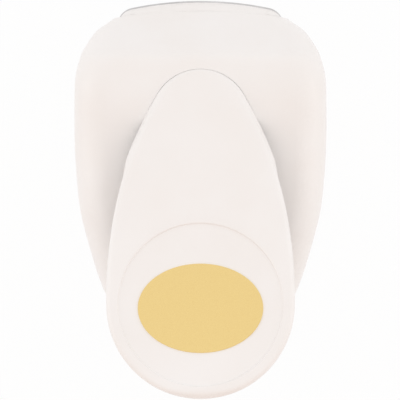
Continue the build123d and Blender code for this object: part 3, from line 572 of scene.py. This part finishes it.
def slot_of(node):
    """The material slot that the record gives a CAD node."""
    parts = frame["record"]["subparts"]
    return next(part["material_slot"] for part in parts if part["node"] == node)


def stand_for(piece, *nodes):
    """Let a finished piece stand for its CAD nodes, on their body."""
    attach(piece, body_of(nodes[0]))
    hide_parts(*nodes)


# ---- lever
class LeverForm:
    """The lever's plan, top and skirt, as functions of its sizes."""

    # Points on the plan: on the nose's arc, each span of the side, the end's arc and each half
    nose_steps, span_steps, end_steps, half_steps = 60, 60, 90, 200
    # Height of the walls' lower edge at places along the punch, in millimetres
    skirt_knots = (
        (-56.0, 37.5), (-34.0, 42.0), (-14.0, 49.2), (20.0, 50.3), (50.0, 52.5), (83.0, 57.0)
    )

    def __init__(self, sizes):
        self.sizes = sizes
        self.slope = math.tan(sizes.tilt)
        self.plan = self.make_plan()
        before, after = np.roll(self.plan, 1, axis=0), np.roll(self.plan, -1, axis=0)
        way = after - before
        way /= np.linalg.norm(way, axis=1)[:, None]
        self.outwards = np.stack([way[:, 1], -way[:, 0]], axis=1)
        crest = np.array([sizes.crest_y, self.plane_z(sizes.crest_y)])
        fall = np.array([sizes.roll_y - sizes.crest_y, -sizes.roll_drop])
        down = np.array([math.sin(sizes.tilt), -math.cos(sizes.tilt)])
        self.roll_radius = fall.dot(fall) / (2 * fall.dot(down))
        self.roll_centre = crest + down * self.roll_radius

    def make_plan(self):
        """Points round the plan: nose, flared side and round end, then the same mirrored."""
        s = self.sizes
        turns = np.linspace(0, s.nose_turn, self.nose_steps)
        centre_y = s.nose_y + s.nose_radius
        nose = np.column_stack(
            [s.nose_radius * np.sin(turns), centre_y - s.nose_radius * np.cos(turns)]
        )
        waist, hip = (s.waist_half_width, s.waist_y), (s.hip_half_width, s.hip_y)
        knots = np.array([nose[-1], waist, hip, (s.end_radius, s.end_y)])
        first = np.array([math.cos(s.nose_turn), math.sin(s.nose_turn)])
        last = np.array([0.0, 1.0])
        side = self.spline(knots, first, last)
        turns = np.linspace(0, math.pi / 2, self.end_steps)
        end = np.column_stack(
            [s.end_radius * np.cos(turns), s.end_y + s.end_radius * np.sin(turns)]
        )
        half = even_steps(np.concatenate([nose[:-1], side, end[1:]]), self.half_steps + 1)
        return np.concatenate([half, half[-2:0:-1] * (-1, 1)])

    def spline(self, knots, first, last):
        """A curve of three even-bending spans through four knots, with its end directions given."""
        steps = np.diff(knots, axis=0)
        spans = np.linalg.norm(steps, axis=1)
        ways = steps / spans[:, None]
        matrix = [[2 * (spans[0] + spans[1]), spans[0]], [spans[2], 2 * (spans[1] + spans[2])]]
        right = [
            3 * (spans[1] * ways[0] + spans[0] * ways[1]) - spans[1] * first,
            3 * (spans[2] * ways[1] + spans[1] * ways[2]) - spans[1] * last,
        ]
        middle = np.linalg.solve(matrix, right)
        tangents = [first, middle[0], middle[1], last]
        points = [knots[:1]]
        for index, span in enumerate(spans):
            along = np.linspace(0, 1, self.span_steps)[1:, None]
            step = steps[index]
            start, end = tangents[index] * span, tangents[index + 1] * span
            bend = start + end - 2 * step
            reach = along * (start + along * (step - start - bend + along * bend))
            points.append(knots[index] + reach)
        return np.concatenate(points)

    def plane_z(self, y):
        """Height of the sloped plane that the top lies on."""
        return self.sizes.nose_z + (y - self.sizes.nose_y) * self.slope

    def top_z(self, y):
        """Height of the top: a sloped plane that rolls over at the rear."""
        y = np.asarray(y, dtype=float)
        reach = np.clip(y - self.roll_centre[0], -self.roll_radius, self.roll_radius)
        rolled = self.roll_centre[1] + np.sqrt(self.roll_radius ** 2 - reach ** 2)
        return np.where(y > self.sizes.crest_y, rolled, self.plane_z(y))

    def under_z(self, y):
        """Height of the roof's underside, which slopes down at the rear."""
        s = self.sizes
        thickness = s.roof / math.cos(s.tilt)
        end_y = s.crest_y - s.roof
        start_z = self.plane_z(end_y) - thickness
        end_z = self.plane_z(s.crest_y) - s.roll_drop - thickness
        sloped = start_z + (y - end_y) / (s.roll_y - end_y) * (end_z - start_z)
        return np.where(y > end_y, sloped, self.plane_z(y) - thickness)

    def skirt_z(self, y):
        """Height of the walls' lower edge."""
        knots = np.array(self.skirt_knots) * MM
        return curve_through(knots[:, 0], knots[:, 1], y)

    def edge_at(self, y):
        """Rounding of the top edge, which is finer at the nose."""
        s = self.sizes
        along = np.clip((y - s.nose_y) / s.nose_edge_length, 0, 1)
        return s.nose_edge + (s.edge - s.nose_edge) * along

    def offset(self, inset, z):
        """The plan at height z, drawn in by inset and the draft, and let out at the neck."""
        s = self.sizes
        rise = math.tan(s.draft) * (z - s.root_z)
        y = self.plan[:, 1]
        sunk = np.clip((s.neck_end_y - y) / s.neck_fade, 0, 1)
        neck = np.maximum(s.neck_z, self.skirt_z(y) + s.foot_edge)
        free = np.clip((z - neck) / s.edge, 0, 1)
        hold = sunk * (1 - free)
        reach = inset + rise * (1 - hold) - s.neck * hold
        plan = self.plan - self.outwards * np.reshape(reach, (-1, 1))
        return np.column_stack([plan, np.broadcast_to(z, len(plan))])

    def dish_ring(self, angles, radius, depth):
        """A ring of the thumb dish, which is cut square to the sloped top."""
        s = self.sizes
        along, across = np.sin(angles) * radius, np.cos(angles) * radius
        centre_z = self.plane_z(s.end_y)
        cosine, sine = math.cos(s.tilt), math.sin(s.tilt)
        return np.column_stack([
            across,
            s.end_y + along * cosine - depth * sine,
            centre_z + along * sine + depth * cosine,
        ])

    def bowl_depth(self, radius):
        """Height of the dish's bowl over the sloped top, which is below zero."""
        s = self.sizes
        sphere = (s.dish_radius ** 2 + s.dish_sag ** 2) / (2 * s.dish_sag)
        return -s.dish_step - s.dish_sag + sphere - np.sqrt(sphere ** 2 - radius ** 2)


def lever_rings(form):
    """Rings over the lever's whole skin: under the roof, down, up, and over into the dish."""
    roof_count, root_count, inner_count, foot_count, outer_count = 8, 5, 7, 4, 9
    edge_count, top_count, rim_count, bowl_count, hub_share = 8, 8, 4, 16, 0.02
    s = form.sizes
    skirt = form.skirt_z(form.plan[:, 1])
    foot = skirt + s.foot_edge
    rings = []
    root = s.foot_edge * 2
    inner = form.offset(s.wall + root, form.under_z(form.plan[:, 1]))
    centre = np.array([0, s.end_y])
    for share in np.linspace(hub_share, 1, roof_count):
        plan = centre + (inner[:, :2] - centre) * share
        rings.append(np.column_stack([plan, form.under_z(plan[:, 1])]))
    for inset, short in reversed(quarter(root, root_count)):
        wall = form.offset(s.wall + inset, form.under_z(form.plan[:, 1]))
        wall[:, 2] = np.maximum(form.under_z(wall[:, 1]) - short, foot)
        rings.append(wall)
    inner_top = rings[-1][:, 2]
    for share in np.linspace(1, 0, inner_count)[1:]:
        rings.append(form.offset(s.wall, foot + (inner_top - foot) * share))
    for inset, short in quarter(s.foot_edge, foot_count)[1:]:
        rings.append(form.offset(s.wall - inset, skirt + short))
    for inset, short in reversed(quarter(s.foot_edge, foot_count)):
        rings.append(form.offset(inset, skirt + short))
    edge = form.edge_at(form.plan[:, 1])
    side_top = form.top_z(form.offset(0, form.top_z(form.plan[:, 1]))[:, 1]) - edge
    for share in np.linspace(0, 1, outer_count)[1:]:
        rings.append(form.offset(0, foot + (side_top - foot) * share))
    for inset, short in quarter(edge, edge_count)[1:]:
        ring = form.offset(inset, form.top_z(form.plan[:, 1]) - short)
        ring[:, 2] = form.top_z(ring[:, 1]) - short
        rings.append(ring)
    rim = rings[-1]
    angles = np.arctan2((rim[:, 1] - s.end_y) / math.cos(s.tilt), rim[:, 0])
    lip = form.dish_ring(angles, s.dish_radius + s.dish_lip, 0)
    for share in np.linspace(0, 1, top_count)[1:-1]:
        plan = rim[:, :2] + (lip[:, :2] - rim[:, :2]) * share
        rings.append(np.column_stack([plan, form.top_z(plan[:, 1])]))
    for inset, short in quarter(s.dish_lip, rim_count):
        radius = s.dish_radius + s.dish_lip - (s.dish_lip - short)
        rings.append(form.dish_ring(angles, radius, -inset))
    toe_depth = form.bowl_depth(s.dish_radius - s.dish_toe)
    for inset, short in quarter(s.dish_toe, rim_count):
        rings.append(form.dish_ring(angles, s.dish_radius - inset, toe_depth + short))
    for radius in np.linspace(s.dish_radius - s.dish_toe, 0, bowl_count)[1:-1]:
        rings.append(form.dish_ring(angles, radius, form.bowl_depth(radius)))
    return rings


def lever_rib(form, start, end):
    """A stiffening rib under the lever's roof, as an island of corners and faces."""
    steps = 20
    s = form.sizes
    half, chamfer = s.rib_thickness / 2, s.foot_edge / 2
    start, end = np.array(start), np.array(end)
    way = (end - start) / np.linalg.norm(end - start)
    across = np.array([-way[1], way[0]])
    knot_y = (0.0, s.rib_waist_y, s.rib_end_y)
    knot_z = (form.under_z(np.array(0.0)), s.rib_waist_z, s.rib_end_z)
    rings = []
    for share in np.linspace(0, 1, steps):
        place = start + (end - start) * share
        low = np.interp(place[1], knot_y, knot_z)
        high = form.under_z(np.array(place[1])) + s.rib_root
        left = [(-half, high), (-half, low + chamfer), (chamfer - half, low)]
        section = left + [(-side, z) for side, z in reversed(left)]
        rings.append([(*(place + across * side), z) for side, z in section])
    around = len(rings[0])
    verts = np.concatenate(rings)
    faces = ring_faces(steps, around)
    faces += [tuple(range(around)), tuple(range((steps - 1) * around, steps * around))]
    return verts, faces


class CRAFTPUNCH_OT_lever(bpy.types.Operator):
    """Lever cover: a drafted tub under a sloped top with a thumb dish"""

    bl_idname = "craftpunch.lever"
    bl_label = "Lever cover"

    def execute(self, context):
        form = LeverForm(context.scene.punch_lever)
        s = form.sizes
        cross = math.sqrt((s.end_radius - s.wall / 2) ** 2 - (s.rib_cross_y - s.end_y) ** 2)
        ribs = [
            lever_rib(form, (x, s.rib_start_y), (x, s.rib_stop_y)) for x in (-s.rib_x, s.rib_x)
        ]
        ribs.append(lever_rib(form, (-cross, s.rib_cross_y), (cross, s.rib_cross_y)))
        piece = closed_rings("lever_skin", lever_rings(form), finishes["shell_white"], ribs)
        stand_for(piece, "lever_cover")
        return {"FINISHED"}


class CRAFTPUNCH_OT_label(bpy.types.Operator):
    """Oval gold label that lies in the dish and shows the shape that the punch cuts"""

    bl_idname = "craftpunch.label"
    bl_label = "Oval label"

    def execute(self, context):
        around, hub_share, edge_share = 240, 0.05, 0.98
        under_count, edge_count, top_count = 9, 5, 12
        form = LeverForm(context.scene.punch_lever)
        s = form.sizes
        turns = np.linspace(0, 2 * math.pi, around + 1)[:-1]

        def oval(share, lift):
            across = np.cos(turns) * s.label_width / 2 * share
            along = np.sin(turns) * s.label_length / 2 * share + s.label_shift
            radius = np.hypot(across, along)
            angles = np.arctan2(along, across)
            return form.dish_ring(angles, radius, form.bowl_depth(radius) + lift)

        rings = [oval(share, 0) for share in np.linspace(hub_share, 1, under_count)]
        for inset, short in quarter(s.label_edge, edge_count):
            rings.append(oval(1 - inset * 2 / s.label_length, s.label_thickness - short))
        shares = np.linspace(edge_share, hub_share, top_count)
        rings += [oval(share, s.label_thickness) for share in shares]
        piece = closed_rings("label_skin", rings, finishes["label_gold"])
        stand_for(piece, "shape_label")
        return {"FINISHED"}


# ---- casing
class CRAFTPUNCH_OT_casing(bpy.types.Operator):
    """Shell and tray of the casing, with their edges eased"""

    bl_idname = "craftpunch.casing"
    bl_label = "Casing"

    def execute(self, context):
        shell_sharp_deg = 60
        looks = context.scene.punch_looks
        white = finishes["shell_white"]
        shell = eased_copy("top_shell", "shell_skin", white, looks.shell_ease, shell_sharp_deg)
        stand_for(shell, "top_shell")
        tray = eased_copy("base_frame", "tray_skin", finishes["tray_white"], looks.tray_ease)
        stand_for(tray, "base_frame")
        return {"FINISHED"}


# ---- steel pieces
# The finish of each of the record's material slots, but for those of the plastics and the label
finish_of_slot = {
    "plate_steel": "plate_rolled",
    "tool_steel": "block_ground",
    "pressed_steel": "sheet_zinc",
    "rivet_steel": "sheet_zinc",
    "screw_steel": "sheet_zinc",
    "bright_steel": "rod_ground",
    "clip_steel": "clip_dark",
    "spring_wire": "rod_ground",
}


class CRAFTPUNCH_OT_works(bpy.types.Operator):
    """Plates, die set, hinge, clips and springs"""

    bl_idname = "craftpunch.works"
    bl_label = "Works"

    def execute(self, context):
        ease = context.scene.punch_looks.steel_ease
        for part in frame["record"]["subparts"]:
            node, slot = part["node"], part["material_slot"]
            if slot not in finish_of_slot or node in CRAFTPUNCH_OT_fasteners.recesses:
                continue
            finish = finishes[finish_of_slot[slot]]
            piece = eased_copy(node, node + "_eased", finish, ease)
            if slot == "spring_wire":
                # A spring stands on the guide plate; its copy is baked where it stands and does not
                # move
                low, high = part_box(node)
                foot = (low + high) / 2
                foot.z = low.z
                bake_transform(piece)
                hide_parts(node)
            else:
                stand_for(piece, node)
        return {"FINISHED"}


# ---- screws and rivets
def islands(node):
    """The separate pieces in a CAD node, each as an array of its corner points."""
    work = welded(node)
    done = set()
    pieces = []
    # Corners are taken in the mesh's own order, so that every run finds the pieces in one order
    for first in work.verts:
        front = [] if first in done else [first]
        piece = []
        done.update(front)
        while front:
            vert = front.pop()
            piece.append(tuple(vert.co))
            for edge in vert.link_edges:
                other = edge.other_vert(vert)
                if other not in done:
                    done.add(other)
                    front.append(other)
        if piece:
            pieces.append(np.array(piece))
    work.free()
    return pieces


def levelled(values):
    """Values that lie within a small gap of each other, all drawn to their mean."""
    gap = 0.03 * MM
    order = np.argsort(values)
    groups = np.split(order, np.flatnonzero(np.diff(values[order]) > gap) + 1)
    level = np.empty(len(values))
    for group in groups:
        level[group] = values[group].mean()
    return level


def turned_profile(points, axis):
    """A turned piece's foot, its axis towards the head, and its corners as heights and radii."""
    axis = np.array(axis)
    heights = points @ axis
    flat = points - np.outer(heights, axis)
    middle = (flat.max(axis=0) + flat.min(axis=0)) / 2
    radii = levelled(np.linalg.norm(flat - middle, axis=1))
    heights = levelled(heights)
    corners = []
    for height in np.unique(heights):
        found = np.unique(radii[heights == height])
        last = corners[-1][1] if corners else found[0]
        found = sorted(found, key=lambda value: abs(value - last))
        corners += [(height, radius) for radius in found]
    if corners[0][1] > corners[-1][1]:
        return turned_profile(points, -axis)
    foot = middle + axis * corners[0][0]
    return foot, axis, [(height - corners[0][0], radius) for height, radius in corners]


def softened(corners, soft):
    """A profile with its last corner rounded by soft and its other outer corners slightly."""
    slight, steps = 0.12 * MM, 7
    line = [(corners[0][0], 0.0)]
    ends = corners + [(corners[-1][0], 0.0)]
    for index, corner in enumerate(corners):
        before = np.array(line[-1] if index == 0 else corners[index - 1])
        corner, after = np.array(corner), np.array(ends[index + 1])
        reach = soft if index == len(corners) - 1 else min(soft, slight)
        into, out = corner - before, after - corner
        if into[0] * out[1] - into[1] * out[0] > 0:
            line.append(tuple(corner))
            continue
        start = corner - into / np.linalg.norm(into) * min(reach, np.linalg.norm(into) / 2)
        end = corner + out / np.linalg.norm(out) * reach
        for along in np.linspace(0, 1, steps):
            point = start * (1 - along) ** 2 + corner * 2 * along * (1 - along) + end * along ** 2
            line.append(tuple(point))
    line.append((corners[-1][0], 0.0))
    return line


def lathe(name, profile, material):
    """A closed turned piece that stands on its foot along Z."""
    around = 40
    turns = np.linspace(0, 2 * math.pi, around + 1)[:-1]
    rings = [
        np.column_stack(
            [np.cos(turns) * radius, np.sin(turns) * radius, np.full(around, height)]
        )
        for height, radius in profile[1:-1]
    ]
    return closed_rings(name, rings, material)


def recess_cutter(kind, radius, top, depth):
    """A tapered cross or hexagon that is cut out of a screw's head."""
    hex_corners, hex_share, arm_share, half_share = 6, 0.5, 0.62, 0.13
    floor_share, over_share = 0.72, 1.05
    if kind == "hex":
        turns = np.linspace(0, 2 * math.pi, hex_corners + 1)[:-1]
        plan = np.column_stack([np.cos(turns), np.sin(turns)]) * radius * hex_share
    else:
        arm, half = radius * arm_share, radius * half_share
        quarter_plan = [(arm, -half), (arm, half), (half, half)]
        plan = []
        for turn in range(4):
            cosine = round(math.cos(turn * math.pi / 2))
            sine = round(math.sin(turn * math.pi / 2))
            plan += [(x * cosine - y * sine, x * sine + y * cosine) for x, y in quarter_plan]
        plan = np.array(plan)
    levels = ((floor_share, top - depth), (1, top), (over_share, top + depth))
    rings = [
        np.column_stack([plan * share, np.full(len(plan), height)]) for share, height in levels
    ]
    return closed_rings("recess_cutter", rings, None)


def fastener_row():
    """Node group that sets one fastener on every point, each turned a little differently."""
    group = bpy.data.node_groups.new("fastener_row", "GeometryNodeTree")
    inputs = (
        ("Places", "NodeSocketGeometry"),
        ("Fastener", "NodeSocketObject"),
        ("Turn", "NodeSocketVector"),
        ("Seed", "NodeSocketInt"),
        ("Finish", "NodeSocketMaterial"),
    )
    for name, kind in inputs:
        group.interface.new_socket(name=name, in_out="INPUT", socket_type=kind)
    group.interface.new_socket(name="Row", in_out="OUTPUT", socket_type="NodeSocketGeometry")
    add, link = group.nodes.new, group.links.new
    given = add("NodeGroupInput").outputs
    source = add("GeometryNodeObjectInfo")
    link(given["Fastener"], source.inputs["Object"])
    chance = add("FunctionNodeRandomValue")
    chance.data_type = "FLOAT"
    chance.inputs[RANDOM_MOST].default_value = 2 * math.pi
    link(given["Seed"], chance.inputs["Seed"])
    spin = add("ShaderNodeCombineXYZ")
    link(chance.outputs[RANDOM_RESULT], spin.inputs["Z"])
    stood = add("GeometryNodeInstanceOnPoints")
    link(given["Places"], stood.inputs["Points"])
    link(source.outputs["Geometry"], stood.inputs["Instance"])
    link(given["Turn"], stood.inputs["Rotation"])
    turned = add("GeometryNodeRotateInstances")
    link(stood.outputs[0], turned.inputs["Instances"])
    link(spin.outputs[0], turned.inputs["Rotation"])
    real = add("GeometryNodeRealizeInstances")
    link(turned.outputs[0], real.inputs[0])
    finish = add("GeometryNodeSetMaterial")
    link(real.outputs[0], finish.inputs["Geometry"])
    link(given["Finish"], finish.inputs["Material"])
    link(finish.outputs[0], add("NodeGroupOutput").inputs[0])
    return group


class CRAFTPUNCH_OT_fasteners(bpy.types.Operator):
    """Screws and rivets, turned from the CAD's profiles and set out by Geometry Nodes"""

    bl_idname = "craftpunch.fasteners"
    bl_label = "Screws and rivets"

    # Depth of a recess as a share of the head's radius
    recess_depth = 0.3
    # Kind of recess, and how far the head's edge is rounded as a share of its radius
    recesses = {
        "die_screws": ("cross", 0.16),
        "guide_screws": ("cross", 0.04),
        "shell_screws": ("cross", 0.16),
        "bracket_screws": ("cross", 0.16),
        "lever_screws": ("cross", 0.16),
        "carrier_screws": ("hex", 0.08),
        "plate_rivets": (None, 0.3),
    }

    def execute(self, context):
        group = fastener_row()
        sockets = {socket.name: socket.identifier for socket in group.interface.items_tree}
        tilt = context.scene.punch_lever.tilt
        seed = context.scene.punch_looks.seed
        for node, (kind, soft_share) in self.recesses.items():
            lean = (0, -math.sin(tilt), math.cos(tilt)) if node == "lever_screws" else (0, 0, 1)
            found = [turned_profile(points, lean) for points in islands(node)]
            _, axis, corners = found[0]
            top, radius = corners[-1]
            finish = finishes[finish_of_slot[slot_of(node)]]
            blank = lathe(node + "_blank", softened(corners, radius * soft_share), finish)
            cutter = None
            if kind is not None:
                cutter = recess_cutter(kind, radius, top, radius * self.recess_depth)
                cut = blank.modifiers.new("recess", "BOOLEAN")
                cut.object = cutter
                cut.solver = "EXACT"
            master = baked(blank, node + "_master")
            if cutter is not None:
                bpy.data.objects.remove(cutter)
            feet = bpy.data.meshes.new(node + "_feet")
            feet.from_pydata([tuple(foot) for foot, _, _ in found], [], [])
            row = placed(node + "_row", feet)
            nodes = row.modifiers.new("row", "NODES")
            nodes.node_group = group
            nodes[sockets["Fastener"]] = master
            nodes[sockets["Turn"]] = tuple(Vector(axis).to_track_quat("Z", "Y").to_euler())
            nodes[sockets["Seed"]] = seed
            nodes[sockets["Finish"]] = finish
            piece = baked(row, node + "_set")
            bpy.data.objects.remove(master)
            stand_for(piece, node)
        return {"FINISHED"}


# ---- studio
def softbox(name, place, width, length, power, tone=(1, 1, 1)):
    """A rectangular lamp aimed at the punch."""
    lamp = bpy.data.lights.new(name, "AREA")
    lamp.shape = "RECTANGLE"
    lamp.size = width
    lamp.size_y = length
    lamp.energy = power
    lamp.color = tone
    box = placed(name, lamp)
    box.location = place
    box.rotation_euler = (-Vector(place)).to_track_quat("-Z", "Y").to_euler()


def backdrop_white(share):
    """A matte floor, white from above, which takes the punch's shadow and is clear from below."""
    grey, mottle_scale, smoothest, roughest = 0.9, 3, 0.85, 0.95
    finish = Finish("backdrop_white")
    finish.shader.inputs["Base Color"].default_value = (grey, grey, grey, 1)
    finish.drive("Roughness", finish.spread(finish.noise(mottle_scale), smoothest, roughest))
    glow = finish.add("ShaderNodeEmission")
    glow.inputs["Color"].default_value = (1, 1, 1, 1)
    ray = finish.add("ShaderNodeLightPath").outputs
    seen = finish.combine("MAXIMUM", ray["Is Camera Ray"], ray["Is Glossy Ray"])
    seen = finish.combine("MAXIMUM", seen, ray["Is Transmission Ray"])
    part = finish.combine("MULTIPLY", seen, share)
    above = finish.mix_shaders(part, finish.shader.outputs[0], glow.outputs[0])
    back = finish.add("ShaderNodeNewGeometry").outputs["Backfacing"]
    clear = finish.add("ShaderNodeBsdfTransparent").outputs[0]
    shown = finish.mix_shaders(back, above, clear)
    finish.links.new(shown, finish.nodes["Material Output"].inputs["Surface"])
    return finish.material


def studio_sky(strength, front, rear):
    """Even light, tinted in front and behind, which shows plain white to the camera."""
    white, middle = (1, 1, 1), 0.5
    world = bpy.data.worlds.new("studio_sky")
    sheet = NodeSheet(world)
    split = sheet.add("ShaderNodeSeparateXYZ")
    way = sheet.add("ShaderNodeTexCoord").outputs["Generated"]
    sheet.links.new(way, split.inputs[0])
    tones = sheet.add("ShaderNodeValToRGB")
    tones.color_ramp.elements.new(middle)
    for stop, tone in zip(tones.color_ramp.elements, (front, white, rear)):
        stop.color = (*tone, 1)
    sheet.links.new(sheet.spread(split.outputs["Y"], 0, 1, -1, 1), tones.inputs["Fac"])
    eye = sheet.add("ShaderNodeLightPath").outputs["Is Camera Ray"]
    sky = sheet.nodes["Background"].inputs
    sheet.links.new(sheet.blend(eye, tones.outputs["Color"], white), sky["Color"])
    sheet.links.new(sheet.spread(eye, strength, 1, 0, 1), sky["Strength"])
    return world


class CRAFTPUNCH_OT_studio(bpy.types.Operator):
    """Floor, lamps and the camera straight above the punch"""

    bl_idname = "craftpunch.studio"
    bl_label = "Studio"

    def execute(self, context):
        scene = context.scene
        studio = scene.punch_studio
        half = studio.floor_size / 2
        low = -studio.floor_drop
        corners = [(-half, -half, low), (half, -half, low), (half, half, low), (-half, half, low)]
        white = backdrop_white(studio.backdrop_share)
        floor = finished_mesh("floor", corners, [(0, 1, 2, 3)], white)
        floor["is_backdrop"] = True
        scene.world = studio_sky(studio.sky, studio.sky_front, studio.sky_rear)
        place = (0, studio.lamp_reach, studio.lamp_height)
        width, length, power = studio.lamp_width, studio.lamp_length, studio.lamp_power
        softbox("softbox", place, width, length, power, studio.lamp_tone)
        for side, name in ((-1, "softbox_left"), (1, "softbox_right")):
            place = (side * studio.side_reach, 0, studio.side_height)
            softbox(name, place, studio.side_width, studio.side_length, studio.side_power)
        lens = bpy.data.cameras.new("camera")
        lens.sensor_width = studio.sensor
        lens.lens = studio.sensor * studio.focal_pixels / studio.image_pixels
        camera = placed("camera", lens)
        camera.location = (studio.camera_x, studio.camera_y, studio.camera_height)
        camera.rotation_euler = (0, 0, math.pi)
        scene.camera = camera
        scene.view_settings.view_transform = "Standard"
        return {"FINISHED"}


# ---- add-on
class CRAFTPUNCH_PT_panel(bpy.types.Panel):
    """Sidebar panel that lists the punch's pieces and sizes"""

    bl_label = "Craft punch"
    bl_idname = "CRAFTPUNCH_PT_panel"
    bl_space_type = "VIEW_3D"
    bl_region_type = "UI"
    bl_category = "Craft punch"

    def draw(self, context):
        for operator in operators:
            self.layout.operator(operator.bl_idname)
        for name, kind in groups.items():
            box = self.layout.box()
            for value in kind.__annotations__:
                box.prop(getattr(context.scene, name), value)


groups = {"punch_lever": LeverSizes, "punch_looks": PunchLooks, "punch_studio": StudioValues}
operators = [
    CRAFTPUNCH_OT_casing,
    CRAFTPUNCH_OT_lever,
    CRAFTPUNCH_OT_label,
    CRAFTPUNCH_OT_works,
    CRAFTPUNCH_OT_fasteners,
    CRAFTPUNCH_OT_studio,
]
finishes = {}


def register():
    for kind in (*groups.values(), *operators, CRAFTPUNCH_PT_panel):
        bpy.utils.register_class(kind)
    for name, kind in groups.items():
        setattr(bpy.types.Scene, name, PointerProperty(type=kind))


def unregister():
    for name in groups:
        delattr(bpy.types.Scene, name)
    for kind in reversed((*groups.values(), *operators, CRAFTPUNCH_PT_panel)):
        bpy.utils.unregister_class(kind)


def main():
    """Register the add-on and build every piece."""
    register()
    finishes.update(make_finishes(bpy.context.scene.punch_looks))
    bpy.ops.craftpunch.casing()
    bpy.ops.craftpunch.lever()
    bpy.ops.craftpunch.label()
    bpy.ops.craftpunch.works()
    bpy.ops.craftpunch.fasteners()
    bpy.ops.craftpunch.studio()
    boxes = {"cad": cad_box, "visual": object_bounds()}
    {name: [list(corner) for corner in box] for name, box in boxes.items()}


if __name__ == "__main__":
    main()
